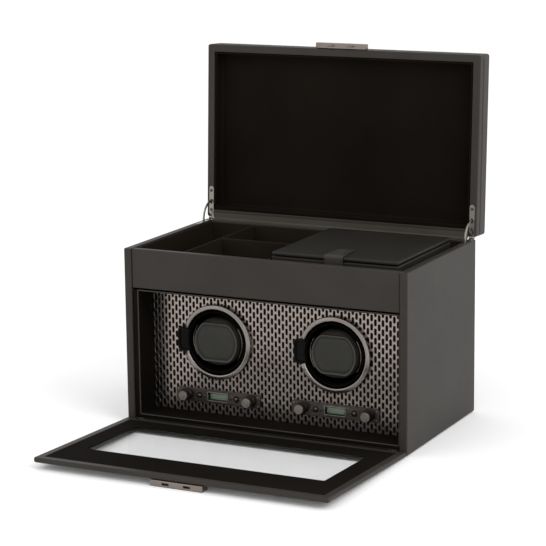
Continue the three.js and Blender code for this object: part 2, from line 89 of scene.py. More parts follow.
def boxOf(node):
    # lowest and highest corner of a CAD node, in millimetres
    low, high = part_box(node)
    return np.array(low) / mm, np.array(high) / mm


def swingOf(jointName):
    # the matrix that carries a shut panel to where it rests: a turn about the joint by its whole range
    joint = next(j for j in frame["joints"] if j["name"] == jointName)
    pivot = Vector(joint["pos_m"]) / mm
    turn = Matrix.Rotation(-math.radians(joint["range_deg"][0]), 4, Vector(joint["axis"]))
    return Matrix.Translation(pivot) @ turn @ Matrix.Translation(-pivot)


lidSwing = swingOf("lid_hinge")
doorSwing = swingOf("door_hinge")
lidPivot = np.array(next(j["pos_m"] for j in frame["joints"] if j["name"] == "lid_hinge")) / mm


def shutBoxOf(node, swing):
    # the node's box with its panel shut: its points turned back, lowest and highest corner
    co = np.array([v.co for v in frame["nodes"][node].data.vertices]) / mm
    back = np.array(swing.inverted())
    co = co @ back[:3, :3].T + back[:3, 3]
    return co.min(0), co.max(0)


# how a surface drawn flat is turned
up = np.eye(3)  # drawn in X and Y, height along +Z
forward = np.array([[1, 0, 0], [0, 0, -1], [0, 1, 0]], float)  # drawn in X and Z, height towards -Y
sideways = np.array([[0, 0, 1], [1, 0, 0], [0, 1, 0]], float)  # drawn in Y and Z, height along +X


def gridFaces(rows, columns, closedRows=False, closedColumns=True):
    # every cell of a rows by columns grid of points, as four point numbers
    r = np.arange(rows if closedRows else rows - 1)[:, None]
    c = np.arange(columns if closedColumns else columns - 1)[None, :]
    r2, c2 = (r + 1) % rows, (c + 1) % columns
    quads = (r * columns + c, r * columns + c2, r2 * columns + c2, r2 * columns + c)
    return np.stack(np.broadcast_arrays(*quads), -1).reshape(-1, 4)


def gridShell(points, closedRows=False, capped=True, closedColumns=True):
    # a grid of points (rows, columns, 3) as one skin, its first and last rows closed by flat caps
    rows, columns = points.shape[:2]
    faces = gridFaces(rows, columns, closedRows, closedColumns).tolist()
    if capped and not closedRows:
        faces.append(list(range(columns))[::-1])
        faces.append(list(range((rows - 1) * columns, rows * columns)))
    return points.reshape(-1, 3), faces


def rectangleShell(rows, facing=up, closed=False, steps=4):
    # each row is a rectangle (x0, x1, y0, y1, corner radius, height); its corners are quarter arcs
    rows = np.array(rows, float)
    x0, x1, y0, y1, radius, height = rows.T[:, :, None]
    quarter = np.linspace(0, math.pi / 2, steps + 1)
    angle = np.concatenate([quarter + k * math.pi / 2 for k in range(4)])[None, :]
    right = np.repeat([1, 0, 0, 1], steps + 1)[None, :]
    top = np.repeat([1, 1, 0, 0], steps + 1)[None, :]
    cx = np.where(right, x1 - radius, x0 + radius)
    cy = np.where(top, y1 - radius, y0 + radius)
    flat = np.stack([cx + radius * np.cos(angle), cy + radius * np.sin(angle),
                     np.broadcast_to(height, cx.shape)], -1)
    return gridShell(flat @ facing.T, closedRows=closed)


def roundEdge(rect, inset, height, radius, start, end, steps=4):
    # rows whose inset and height follow an arc: 0 degrees points out of the rectangle, 90 points up
    a = np.radians(np.linspace(start, end, steps + 1))
    grown = inset - radius * np.cos(a)
    x0, x1, y0, y1, corner = rect
    return np.stack([x0 + grown, x1 - grown, y0 + grown, y1 - grown,
                     np.maximum(corner - grown, 0.01), height + radius * np.sin(a)], -1)


def slabShell(low, high, radius, facing=up, corner=None, steps=4):
    # a board with rounded edges: rows of rectangles up its rounded foot and over its rounded top
    a, b = np.array(low, float) @ facing, np.array(high, float) @ facing
    low, high = np.minimum(a, b), np.maximum(a, b)
    rect = (low[0], high[0], low[1], high[1], radius if corner is None else corner)
    rows = np.concatenate([
        roundEdge(rect, radius, low[2] + radius, radius, -90, 0, steps),
        roundEdge(rect, radius, high[2] - radius, radius, 0, 90, steps),
    ])
    return rectangleShell(rows, facing, steps=steps)


def latheShell(profile, centre, axis="y", steps=48):
    # a profile of (radius, distance along the axis) turned a full circle about the axis
    profile = np.array(profile, float)
    angle = np.linspace(0, 2 * math.pi, steps, endpoint=False)[None, :]
    r, along = profile[:, :1], profile[:, 1:]
    u, v = r * np.cos(angle), r * np.sin(angle)
    w = np.broadcast_to(along, u.shape)
    order = {"y": (u, w, v), "x": (w, u, v), "z": (u, v, w)}[axis]
    points = np.stack(order, -1) + np.array(centre, float)
    return gridShell(points)


def arcProfile(centre, radius, start, end, steps=5):
    # points of a circular arc in the (radius, distance) plane of a profile
    a = np.radians(np.linspace(start, end, steps + 1))
    return np.stack([centre[0] + radius * np.cos(a), centre[1] + radius * np.sin(a)], -1)


def carryShell(path, profile, normal, closed=False):
    # a profile of (sideways, along normal) carried down a path that lies square to the normal
    path, profile = np.array(path, float), np.array(profile, float)
    normal = np.array(normal, float)
    if closed:
        tangent = np.roll(path, -1, 0) - np.roll(path, 1, 0)
    else:
        tangent = np.gradient(path, axis=0)
    tangent /= np.linalg.norm(tangent, axis=1, keepdims=True)
    side = np.cross(normal, tangent)
    points = path[:, None] + side[:, None] * profile[None, :, :1] + normal * profile[None, :, 1:]
    return gridShell(points, closedRows=closed)


def circleProfile(radius, steps=8):
    # points evenly round a circle
    a = np.linspace(0, 2 * math.pi, steps, endpoint=False)
    return np.stack([radius * np.cos(a), radius * np.sin(a)], -1)


def roundedOutline(width, height, radius, steps=6):
    # a rectangle with quarter-circle corners, anticlockwise
    a = np.linspace(0, math.pi / 2, steps + 1)
    parts = []
    for k, (sx, sy) in enumerate(((1, 1), (-1, 1), (-1, -1), (1, -1))):
        t = a + k * math.pi / 2
        parts.append(np.stack([sx * (width / 2 - radius) + radius * np.cos(t),
                               sy * (height / 2 - radius) + radius * np.sin(t)], -1))
    return np.concatenate(parts)


def barrelOutline(radius, halfHeight, corner, count=96):
    # a circle cut flat at top and bottom, its corners eased by averaging along the outline
    a = np.linspace(0, 2 * math.pi, 720, endpoint=False)
    ring = np.stack([radius * np.cos(a), np.clip(radius * np.sin(a), -halfHeight, halfHeight)], -1)
    step = np.linalg.norm(np.roll(ring, -1, 0) - ring, axis=1)
    along = np.concatenate([[0], np.cumsum(step)])
    even = np.linspace(0, along[-1], 720, endpoint=False)
    ring = np.stack([np.interp(even, along, np.append(ring[:, k], ring[0, k])) for k in (0, 1)], -1)
    reach = max(1, int(corner / along[-1] * 720))
    eased = sum(np.roll(ring, s, 0) for s in range(-reach, reach + 1)) / (2 * reach + 1)
    return eased[:: 720 // count]


def outlineNormals(outline):
    # the outward direction at each point of an anticlockwise outline
    t = np.roll(outline, -1, 0) - np.roll(outline, 1, 0)
    n = np.stack([t[:, 1], -t[:, 0]], -1)
    return n / np.linalg.norm(n, axis=1, keepdims=True)


def outlineShell(outline, levels, centre, facing=forward):
    # an outline drawn in by an inset at each level: levels are (inset, height) rows, capped at both ends
    levels = np.array(levels, float)
    flat = outline[None] - outlineNormals(outline)[None] * levels[:, 0, None, None]
    height = np.broadcast_to(levels[:, 1, None, None], flat.shape[:2] + (1,))
    points = np.concatenate([flat, height], -1) @ facing.T + np.array(centre, float)
    return gridShell(points)


def joinShells(*shells):
    # several skins as one list of points and faces
    points, faces, start = [], [], 0
    for p, f in shells:
        points.append(p)
        faces += [[i + start for i in face] for face in f]
        start += len(p)
    return np.concatenate(points), faces


def copiesOf(shell, matrices):
    # one small skin repeated at many 4x4 places, worked out as one array
    p, f = shell
    matrices = np.array(matrices)
    points = np.einsum("nij,vj->nvi", matrices[:, :3, :3], p) + matrices[:, None, :3, 3]
    width = max(len(face) for face in f)
    faces = []
    for size in range(3, width + 1):
        same = np.array([face for face in f if len(face) == size])
        if len(same):
            shifted = same[None] + (np.arange(len(matrices)) * len(p))[:, None, None]
            faces += shifted.reshape(-1, size).tolist()
    return points.reshape(-1, 3), faces


def meshFrom(name, shell, tidy=True):
    # a mesh in metres from points in millimetres, its doubles merged and its faces turned outwards
    points, faces = shell
    mesh = bpy.data.meshes.new(name)
    mesh.from_pydata((np.array(points) * mm).tolist(), [], faces)
    if tidy:
        work = bmesh.new()
        work.from_mesh(mesh)
        bmesh.ops.remove_doubles(work, verts=work.verts, dist=2e-6)
        bmesh.ops.dissolve_degenerate(work, edges=work.edges, dist=1e-6)
        bmesh.ops.recalc_face_normals(work, faces=work.faces)
        work.to_mesh(mesh)
        work.free()
    mesh.validate()
    return mesh


def makePiece(name, shell, body, material, replaces=(), swing=None, cuts=(),
              sharp=35, tidy=True, weighted=True):
    # one piece: cut, swung from shut to where it rests, shaded, dressed and put on its body
    piece = bpy.data.objects.new(name, meshFrom(name, shell, tidy))
    bpy.context.scene.collection.objects.link(piece)
    for cutter in cuts:
        cutAway(piece, cutter)
    if swing is not None:
        piece.data.transform(Matrix([[*row[:3], row[3] * mm] for row in swing[:3]] + [swing[3]]))
    piece.data.polygons.foreach_set("use_smooth", np.ones(len(piece.data.polygons), bool))
    piece.data.set_sharp_from_angle(angle=math.radians(sharp))
    if weighted:
        even = piece.modifiers.new("even shading", "WEIGHTED_NORMAL")
        even.keep_sharp = True
    piece.data.materials.clear()
    piece.data.materials.append(material)
    if body:
        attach(piece, body)
    if replaces:
        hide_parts(*replaces)
    return piece


def cutAway(piece, shell):
    # takes a closed skin's space out of a piece
    tool = bpy.data.objects.new("tool", meshFrom("tool", shell))
    bpy.context.scene.collection.objects.link(tool)
    cut = piece.modifiers.new("cut", "BOOLEAN")
    cut.operation, cut.solver, cut.object = "DIFFERENCE", "EXACT", tool
    graph = bpy.context.evaluated_depsgraph_get()
    done = bpy.data.meshes.new_from_object(piece.evaluated_get(graph))
    piece.modifiers.clear()
    old, piece.data = piece.data, done
    bpy.data.meshes.remove(old)
    bpy.data.objects.remove(tool)


def boxShell(low, high):
    # a block with all but square edges, used for cutting
    return slabShell(low, high, 0.02, steps=1)


thread = {"length": 2.3, "radius": 0.34}


def threadShell(length=thread["length"], radius=thread["radius"]):
    # one thread of a seam, lying along X: rings of six points whose radius swells from the ends to the middle
    along = np.array([-0.5, -0.32, 0.32, 0.5])[:, None] * length
    girth = np.array([0.25, 1, 1, 0.25])[:, None] * radius
    a = np.linspace(0, 2 * math.pi, 6, endpoint=False)[None, :]
    points = np.stack([np.broadcast_to(along, (4, 6)), girth * np.cos(a), girth * np.sin(a)], -1)
    return gridShell(points)


def seamMatrices(path, normal, pitch, lift=0.0, closed=False):
    # even steps along a path; each place looks along the path with the surface's normal upwards
    path = np.array(path, float)
    if closed:
        path = np.concatenate([path, path[:1]])
    step = np.linalg.norm(np.diff(path, axis=0), axis=1)
    along = np.concatenate([[0], np.cumsum(step)])
    count = max(2, int(round(along[-1] / pitch)))
    at = (np.arange(count) + 0.5) / count * along[-1]

    def pointAt(distance):
        return np.stack([np.interp(distance, along, path[:, k]) for k in range(3)], -1)

    ahead = pointAt(np.minimum(at + 0.4, along[-1])) - pointAt(np.maximum(at - 0.4, 0))
    ahead /= np.linalg.norm(ahead, axis=1, keepdims=True)
    n = np.broadcast_to(np.array(normal, float), ahead.shape)
    side = np.cross(n, ahead)
    side /= np.linalg.norm(side, axis=1, keepdims=True)
    n = np.cross(ahead, side)
    matrices = np.zeros((count, 4, 4))
    matrices[:, :3, 0], matrices[:, :3, 1], matrices[:, :3, 2] = ahead, side, n
    matrices[:, :3, 3] = pointAt(at) + n * lift
    matrices[:, 3, 3] = 1
    return matrices


def newFinish(name, **sockets):
    # an empty material with its shader, the sockets that are the same all over set directly
    made = bpy.data.materials.new(name)
    made.use_nodes = True
    shader = made.node_tree.nodes["Principled BSDF"]
    for socket, value in sockets.items():
        shader.inputs[socket.replace("_", " ")].default_value = value
    return made, shader


def addNode(made, kind, links=None, **settings):
    # a shader node with its settings and what is plugged into it
    node = made.node_tree.nodes.new(kind)
    for key, value in settings.items():
        if key in node.inputs:
            node.inputs[key].default_value = value
        else:
            setattr(node, key, value)
    for socket, source in (links or {}).items():
        made.node_tree.links.new(source, node.inputs[socket])
    return node


def placeNode(made, stretch=(1, 1, 1)):
    # object coordinates, stretched where a pattern runs one way
    where = addNode(made, "ShaderNodeTexCoord")
    return addNode(made, "ShaderNodeMapping", {"Vector": where.outputs["Object"]}, Scale=stretch).outputs[0]


def rampNode(made, source, stops):
    # colours at places along a number
    ramp = addNode(made, "ShaderNodeValToRGB", {"Fac": source})
    elements = ramp.color_ramp.elements
    while len(elements) < len(stops):
        elements.new(0.5)
    for element, (position, colour) in zip(elements, stops):
        element.position = position
        element.color = (*colour, 1)
    return ramp.outputs["Color"]


def rangeNode(made, source, low, high):
    # a number from 0 to 1 stretched between two others
    node = addNode(made, "ShaderNodeMapRange", {"Value": source})
    node.inputs["To Min"].default_value = low
    node.inputs["To Max"].default_value = high
    return node.outputs["Result"]


def connect(made, source, shader, socket):
    made.node_tree.links.new(source, shader.inputs[socket])


def bumpNode(made, height, strength, distance, after=None):
    links = {"Height": height}
    if after is not None:
        links["Normal"] = after
    node = addNode(made, "ShaderNodeBump", links)
    node.inputs["Strength"].default_value = strength
    node.inputs["Distance"].default_value = distance
    return node.outputs["Normal"]


def leatherFinish(name, dark, light, grain=1100, rough=(0.42, 0.6), depth=0.00012, level=0.22):
    # pebbled grain from cell edges, broad tone from slow noise, scuffs that lift the roughness
    made, shader = newFinish(name, Specular_IOR_Level=level)
    where = placeNode(made)
    cells = addNode(made, "ShaderNodeTexVoronoi", {"Vector": where}, feature="DISTANCE_TO_EDGE", Scale=grain)
    broad = addNode(made, "ShaderNodeTexNoise", {"Vector": where}, Scale=14, Detail=5, Roughness=0.6)
    fine = addNode(made, "ShaderNodeTexNoise", {"Vector": where}, Scale=grain * 0.45, Detail=3)
    connect(made, rampNode(made, broad.outputs["Fac"], [(0.3, dark), (0.72, light)]), shader, "Base Color")
    connect(made, rangeNode(made, fine.outputs["Fac"], *rough), shader, "Roughness")
    creases = bumpNode(made, cells.outputs["Distance"], 0.5, depth)
    connect(made, bumpNode(made, fine.outputs["Fac"], 0.3, depth, creases), shader, "Normal")
    return made


def suedeFinish(name, dark, light, nap=2200):
    # brushed nap: short noise stretched one way over slow patches of tone
    made, shader = newFinish(name, Specular_IOR_Level=0.03)
    broad = addNode(made, "ShaderNodeTexNoise", {"Vector": placeNode(made)}, Scale=9, Detail=4)
    short = addNode(made, "ShaderNodeTexNoise", {"Vector": placeNode(made, (1, 1, 0.4))}, Scale=nap, Detail=2)
    mixed = addNode(made, "ShaderNodeMath", {0: broad.outputs["Fac"], 1: short.outputs["Fac"]}, operation="MULTIPLY")
    connect(made, rampNode(made, mixed.outputs[0], [(0.12, dark), (0.42, light)]), shader, "Base Color")
    connect(made, rangeNode(made, short.outputs["Fac"], 0.86, 1.0), shader, "Roughness")
    connect(made, bumpNode(made, short.outputs["Fac"], 0.35, 0.0002), shader, "Normal")
    return made


def metalFinish(name, dark, light, metallic=0.9, rough=(0.28, 0.42), speck=1500, stretch=(1, 1, 1),
                depth=0.00003):
    # a coated or brushed metal: fine noise for the coat, slow noise for handling marks
    made, shader = newFinish(name, Metallic=metallic)
    where = placeNode(made, stretch)
    coat = addNode(made, "ShaderNodeTexNoise", {"Vector": where}, Scale=speck, Detail=3, Roughness=0.65)
    marks = addNode(made, "ShaderNodeTexNoise", {"Vector": placeNode(made)}, Scale=30, Detail=5)
    mixed = addNode(made, "ShaderNodeMath", {0: coat.outputs["Fac"], 1: marks.outputs["Fac"]}, operation="ADD")
    connect(made, rampNode(made, mixed.outputs[0], [(0.7, dark), (1.0, light)]), shader, "Base Color")
    connect(made, rangeNode(made, marks.outputs["Fac"], *rough), shader, "Roughness")
    connect(made, bumpNode(made, coat.outputs["Fac"], 0.25, depth), shader, "Normal")
    return made


def mouldedFinish(name, dark, light, rough=(0.38, 0.6), speck=2600, level=0.4):
    # moulded plastic or rubber: spark-eroded texture and slight tone changes
    made, shader = newFinish(name, Specular_IOR_Level=level)
    where = placeNode(made)
    fine = addNode(made, "ShaderNodeTexNoise", {"Vector": where}, Scale=speck, Detail=2)
    broad = addNode(made, "ShaderNodeTexNoise", {"Vector": where}, Scale=22, Detail=3)
    connect(made, rampNode(made, broad.outputs["Fac"], [(0.3, dark), (0.7, light)]), shader, "Base Color")
    connect(made, rangeNode(made, fine.outputs["Fac"], *rough), shader, "Roughness")
    connect(made, bumpNode(made, fine.outputs["Fac"], 0.2, 0.00004), shader, "Normal")
    return made


def threadFinish(name, dark, light):
    # twisted ply: a slanted wave over the thread
    made, shader = newFinish(name, Specular_IOR_Level=0.3)
    where = placeNode(made, (1, 1, 1.7))
    ply = addNode(made, "ShaderNodeTexWave", {"Vector": where}, Scale=900, Distortion=1.5, bands_direction="DIAGONAL")
    tone = addNode(made, "ShaderNodeTexNoise", {"Vector": where}, Scale=160, Detail=2)
    connect(made, rampNode(made, tone.outputs["Fac"], [(0.3, dark), (0.7, light)]), shader, "Base Color")
    connect(made, rangeNode(made, ply.outputs["Fac"], 0.55, 0.8), shader, "Roughness")
    connect(made, bumpNode(made, ply.outputs["Fac"], 0.4, 0.0001), shader, "Normal")
    return made


def glassFinish(name):
    # clear float glass as a thin coat over what lies behind it, with a breath of smudging
    made, shader = newFinish(name, Roughness=0.02, IOR=1.5, Base_Color=(0.11, 0.125, 0.118, 1))
    where = placeNode(made)
    smudge = addNode(made, "ShaderNodeTexNoise", {"Vector": where}, Scale=26, Detail=6, Roughness=0.7)
    connect(made, rangeNode(made, smudge.outputs["Fac"], 0.08, 0.13), shader, "Alpha")
    connect(made, rangeNode(made, smudge.outputs["Fac"], 0.0, 0.06), shader, "Roughness")
    made.surface_render_method = "BLENDED"
    return made


def displayFinish(name, centre):
    # a reflective liquid-crystal pane: soft band of light and faint rows of cells
    made, shader = newFinish(name, Specular_IOR_Level=0.6)
    where = addNode(made, "ShaderNodeTexCoord").outputs["Object"]
    moved = addNode(made, "ShaderNodeVectorMath", {0: where}, operation="SUBTRACT")
    moved.inputs[1].default_value = [c * mm for c in centre]
    parts = addNode(made, "ShaderNodeSeparateXYZ", {0: moved.outputs[0]})
    height = addNode(made, "ShaderNodeMapRange", {"Value": parts.outputs["Z"]})
    height.inputs["From Min"].default_value = -4 * mm
    height.inputs["From Max"].default_value = 4 * mm
    cells = addNode(made, "ShaderNodeTexBrick", {"Vector": placeNode(made)}, Scale=900)
    tone = rampNode(made, height.outputs["Result"], [
        (0.0, (0.10, 0.15, 0.105)), (0.4, (0.16, 0.22, 0.15)),
        (0.75, (0.21, 0.28, 0.20)), (1.0, (0.15, 0.20, 0.145))])
    connect(made, tone, shader, "Base Color")
    connect(made, rangeNode(made, cells.outputs["Fac"], 0.22, 0.34), shader, "Roughness")
    return made


def laminateFinish(name):
    # green solder mask over copper tracks drawn by a stretched brick pattern
    made, shader = newFinish(name, Specular_IOR_Level=0.5)
    tracks = addNode(made, "ShaderNodeTexBrick", {"Vector": placeNode(made)}, Scale=180)
    tone = addNode(made, "ShaderNodeTexNoise", {"Vector": placeNode(made)}, Scale=60, Detail=4)
    mixed = addNode(made, "ShaderNodeMath", {0: tracks.outputs["Fac"], 1: tone.outputs["Fac"]}, operation="ADD")
    connect(made, rampNode(made, mixed.outputs[0], [(0.3, (0.012, 0.09, 0.03)), (1.2, (0.05, 0.16, 0.05))]),
            shader, "Base Color")
    connect(made, rangeNode(made, tone.outputs["Fac"], 0.3, 0.5), shader, "Roughness")
    return made


finishes = {
    "leather": leatherFinish("cabinet leather", (0.0228, 0.0193, 0.0156), (0.0316, 0.0272, 0.0226)),
    "caseLeather": leatherFinish("travel case leather", (0.014, 0.0125, 0.010), (0.021, 0.0190, 0.016), grain=1500),
    "strapLeather": leatherFinish("strap leather", (0.029, 0.0264, 0.0222), (0.041, 0.0373, 0.0320), grain=1900),
    "cuffLeather": leatherFinish("cuff leather", (0.026, 0.0255, 0.022), (0.038, 0.0370, 0.032), grain=1700,
                                 rough=(0.5, 0.66)),
    "cuffSide": leatherFinish("cuff side leather", (0.018, 0.0148, 0.0120), (0.028, 0.0235, 0.0195), grain=1700,
                              rough=(0.6, 0.75), level=0.12),
    "piping": leatherFinish("cuff piping", (0.060, 0.059, 0.053), (0.085, 0.083, 0.075), grain=2200,
                            rough=(0.4, 0.55)),
    # the hinge fold is the cabinet leather made lighter: painted light for the lit band along the lid's lower rim
    "litFoldLeather": leatherFinish("hinge fold leather in painted light", (0.046, 0.0400, 0.033), (0.062, 0.0550, 0.046), grain=1300),
    "bead": leatherFinish("niche bead leather", (0.030, 0.026, 0.022), (0.042, 0.037, 0.031), grain=2200),
    "suede": suedeFinish("lining suede", (0.0050, 0.0037, 0.0027), (0.0098, 0.0077, 0.0059)),
    # the storage suede is the lining suede made lighter: painted light for the lit walls of the storage
    "litStorageSuede": suedeFinish("storage suede in painted light", (0.0115, 0.0086, 0.0060), (0.0230, 0.0178, 0.0128)),
    "doorSuede": suedeFinish("door suede", (0.0055, 0.0043, 0.0033), (0.0100, 0.0082, 0.0066)),
    "base": suedeFinish("base felt", (0.006, 0.006, 0.006), (0.014, 0.013, 0.012), nap=1500),
    "mesh": metalFinish("perforated bronze coat", (0.26, 0.220, 0.195), (0.335, 0.287, 0.257), 1.0, (0.24, 0.34)),
    "coverBand": leatherFinish("lid band leather", (0.0300, 0.0252, 0.0212), (0.0410, 0.0352, 0.0302), grain=1500),
    "coverMesh": metalFinish("lid cover bronze coat", (0.021, 0.0176, 0.0155), (0.036, 0.0304, 0.0268), 0.85,
                             (0.34, 0.46)),
    "fittings": metalFinish("satin bronze", (0.165, 0.140, 0.124), (0.225, 0.195, 0.173), 1.0, (0.24, 0.34),
                            900, (1, 1, 6)),
    # the control bronze is the satin bronze darkened: painted shade for the dark door and suede it reflects
    "controls": metalFinish("control bronze in painted shade", (0.064, 0.054, 0.0475), (0.096, 0.083, 0.074), 1.0, (0.26, 0.36), 900,
                            (1, 1, 6)),
    # the knob is one metal: its grip is darkened as painted shade and its face is lightened as painted light
    "shadedKnobGrip": metalFinish("knob grip in painted shade", (0.030, 0.025, 0.022), (0.055, 0.047, 0.042), 0.9, (0.25, 0.4), 1500),
    "litKnobFace": metalFinish("turned knob face in painted light", (0.17, 0.150, 0.128), (0.25, 0.225, 0.195), 0.9, (0.3, 0.4), 2100),
    "ring": metalFinish("satin bezel", (0.200, 0.176, 0.160), (0.240, 0.214, 0.195), 1.0, (0.2, 0.26), 700,
                        depth=0.000005),
    "screwHead": metalFinish("dark screw head", (0.035, 0.031, 0.027), (0.075, 0.068, 0.060), 0.9, (0.3, 0.42)),
    "steel": metalFinish("brushed steel", (0.17, 0.158, 0.142), (0.26, 0.243, 0.22), 1.0, (0.24, 0.38), 1100,
                         (1, 5, 1)),
    "plastic": mouldedFinish("black plastic", (0.0028, 0.0024, 0.0021), (0.0052, 0.0047, 0.0043), (0.5, 0.7),
                             level=0.12),
    "drum": mouldedFinish("drum plastic", (0.0016, 0.0012, 0.0010), (0.0030, 0.0023, 0.0019), (0.7, 0.85),
                          level=0.04),
    "rubber": mouldedFinish("belt rubber", (0.012, 0.012, 0.012), (0.022, 0.022, 0.022), (0.7, 0.9), 1400, 0.2),
    "lamp": mouldedFinish("dark red lamp", (0.010, 0.002, 0.002), (0.020, 0.003, 0.003), (0.1, 0.2), 900, 0.6),
    "thread": threadFinish("seam thread", (0.004, 0.004, 0.0035), (0.009, 0.008, 0.0075)),
    "glass": glassFinish("door glass"),
    "laminate": laminateFinish("board laminate"),
}
print("finishes mixed:", len(finishes))


def dressNode(node, finish):
    # a CAD node whose shape is right keeps it and takes a better finish
    data = frame["nodes"][node].data
    data.materials.clear()
    data.materials.append(finishes[finish])


def screwShell(centre, radius, axis="y", front=-1):
    # a countersunk cap with a hexagonal socket: a shallow dome turned about its axis
    r, s = radius, front
    profile = [(0.0, 0.12 * r * s), (0.42 * r, 0.12 * r * s), (0.42 * r, 0.5 * r * s), (0.8 * r, 0.44 * r * s),
               (r, 0.2 * r * s), (r, -0.3 * r * s), (0.0, -0.3 * r * s)]
    return latheShell(profile, centre, axis, 18)


boards = {
    "edge": 1.3,  # how far the leather rounds each edge
    "hingeX": 166.1, "leafHalf": 3.4, "leafFrom": 62.2, "pocketHalf": 1.4,
    "stayInner": 18.5, "stayOuter": 22.1,
    "sidePocket": (175, 238), "lidPocket": (118, 185),  # degrees about the lid's pivot
    "inletHole": 5.8,
}


def sectorCut(x, inner, outer, start, end, half, steps=16):
    # the space swept by the stay: an arc about the lid's pivot with a rectangular section
    a = np.radians(np.linspace(start, end, steps))
    middle = (inner + outer) / 2
    path = np.stack([np.full(steps, x), lidPivot[1] + middle * np.cos(a), lidPivot[2] + middle * np.sin(a)], -1)
    reach = (outer - inner) / 2
    return carryShell(path, [(-reach, -half), (reach, -half), (reach, half), (-reach, half)], (1, 0, 0))


def hingeCuts(x, low, high, start, end):
    # recess for the leaf, room for the knuckle and the pocket the stay slides into
    leaf = boards["leafHalf"]
    return [
        boxShell((x - leaf, boards["leafFrom"], low), (x + leaf, lidPivot[1] + 6, high)),
        latheShell([(0, x - leaf), (2.8, x - leaf), (2.8, x + leaf), (0, x + leaf)],
                   (0, lidPivot[1], lidPivot[2]), "x", 24),
        sectorCut(x, boards["stayInner"], boards["stayOuter"], start, end, boards["pocketHalf"]),
    ]


def makeBoards():
    # leather-covered boards, each a slab with rounded edges
    edge = boards["edge"]
    hole = boards["inletHole"]
    for name, side in (("left", -1), ("right", 1)):
        node = f"{name}_side_panel"
        low, high = boxOf(node)
        makePiece(f"{name}_side_board", slabShell(low, high, edge, sideways), "cabinet", finishes["leather"],
                  [node],
                  cuts=hingeCuts(side * boards["hingeX"], high[2] - 1.2, high[2] + 2, *boards["sidePocket"]))
    low, high = boxOf("back_panel")
    jackLow, jackHigh = boxOf("power_jack")
    middle = (jackLow + jackHigh) / 2
    inlet = latheShell([(0, low[1] - 1), (hole, low[1] - 1), (hole, high[1] + 1), (0, high[1] + 1)],
                       (middle[0], 0, middle[2]))
    makePiece("back_board", slabShell(low, high, edge, forward), "cabinet", finishes["leather"],
              ["back_panel"], cuts=[inlet])
    low, high = boxOf("front_panel")
    makePiece("front_board", slabShell(low, high, edge, forward), "cabinet", finishes["leather"],
              ["front_panel"])
    low, high = boxOf("bottom_panel")
    makePiece("base_board", slabShell(low, high, 0.6), "cabinet", finishes["base"], ["bottom_panel"])
    low, high = boxOf("storage_deck")
    makePiece("deck_board", slabShell(low, high, 0.8), "cabinet", finishes["litStorageSuede"],
              ["storage_deck"])


makeBoards()
print("boards covered")


linings = {
    "mouth": (-154.5, 160.6, 12.0, 153.0),  # left, right, sill and top of the niche's opening
    "lip": 0.9, "trimRadius": 0.75, "wall": 1.0, "wallTop": 198.6,
    "dividerRound": 1.3, "longX": (-107.5, -104.5), "caseX": (-4, -1), "crossX": (-105, -3), "crossY": (9, 12),
}


def frameShell(outer, inner, low, high, lip, facing=up, corner=0.3, innerCorner=1.0):
    # a rectangular tube: out over its rounded rims and back through the middle
    o = (*outer, corner)
    i = (*inner, innerCorner)
    rows = np.concatenate([
        roundEdge(o, lip, high - lip, lip, 0, 90), roundEdge(i, -lip, high - lip, lip, 90, 180),
        roundEdge(i, -lip, low + lip, lip, 180, 270), roundEdge(o, lip, low + lip, lip, -90, 0),
    ])
    return rectangleShell(rows, facing, closed=True)


def makeLinings():
    # the niche's lined tube and its bead, then the storage deck's walls and partitions
    low, high = boxOf("niche_lining")
    lip = linings["lip"]
    left, right, sill, top = linings["mouth"]
    tube = frameShell((low[0], high[0], low[2], high[2]), linings["mouth"], -high[1], -low[1], lip, forward)
    makePiece("niche_tube", tube, "cabinet", finishes["suede"], ["niche_lining"])
    # a leather-wrapped bead runs round the mouth of the niche
    path = roundedOutline(right - left + 2.2, top - sill + 2.2, 1.2, 3) + ((right + left) / 2, (top + sill) / 2)
    path = np.stack([path[:, 0], np.full(len(path), low[1] + 0.2), path[:, 1]], -1)
    bead = carryShell(path, circleProfile(linings["trimRadius"]), (0, -1, 0), closed=True)
    makePiece("niche_bead", bead, "cabinet", finishes["bead"])
    deckLow, deckHigh = boxOf("storage_deck")
    wall = linings["wall"]
    outer = (deckLow[0] - 0.2, deckHigh[0] + 0.2, deckLow[1] - 0.2, deckHigh[1] + 0.2)
    inside = (outer[0] + wall, outer[1] - wall, outer[2] + wall, outer[3] - wall)
    # the storage walls and partitions take the suede made lighter as painted light
    makePiece("storage_lining", frameShell(outer, inside, deckHigh[2] - 0.5, linings["wallTop"], 0.45),
              "cabinet", finishes["litStorageSuede"])
    low, high = boxOf("storage_dividers")
    soft = linings["dividerRound"]
    bottom, top = low[2] - 0.6, high[2]
    deep = (low[1], high[1])
    for name, (x0, x1), (y0, y1), under in (
        ("divider_long", linings["longX"], deep, 0),
        ("divider_cross", linings["crossX"], linings["crossY"], 0.3),
        ("divider_case", linings["caseX"], deep, 0),
    ):
        makePiece(name, slabShell((x0, y0, bottom), (x1, y1, top - under), soft, corner=0.4),
                  "cabinet", finishes["litStorageSuede"], ["storage_dividers"])


makeLinings()
print("linings glued in")


perforation = {
    "columnPitch": 4.45, "rowPitch": 10.2, "slotWidth": 3.05, "slotHeight": 7.8, "rollOver": 0.12, "sheet": 0.5,
    "firstX": -155.9, "firstZ": 12.9,  # centre of the first slot
    "ringX": 72.5, "ringZ": 95.5, "ringHole": 38.5,
    "drumHole": 37, "panelHole": (49, 24, 39),  # openings in the screen board behind the plate
}


def slotRing(halfWidth, halfHeight):
    # twelve points round an upright slot with rounded ends
    shoulder = halfHeight - halfWidth
    x = np.array([0, 0.72, 1, 1, 1, 0.72, 0, -0.72, -1, -1, -1, -0.72]) * halfWidth
    lift = np.array([1, 0.7, 0.1, 0, -0.1, -0.7, -1, -0.7, -0.1, 0, 0.1, 0.7]) * halfWidth
    z = lift + shoulder * np.array([1, 1, 1, 0, -1, -1, -1, -1, -1, 0, 1, 1])
    return np.stack([x, z], -1)


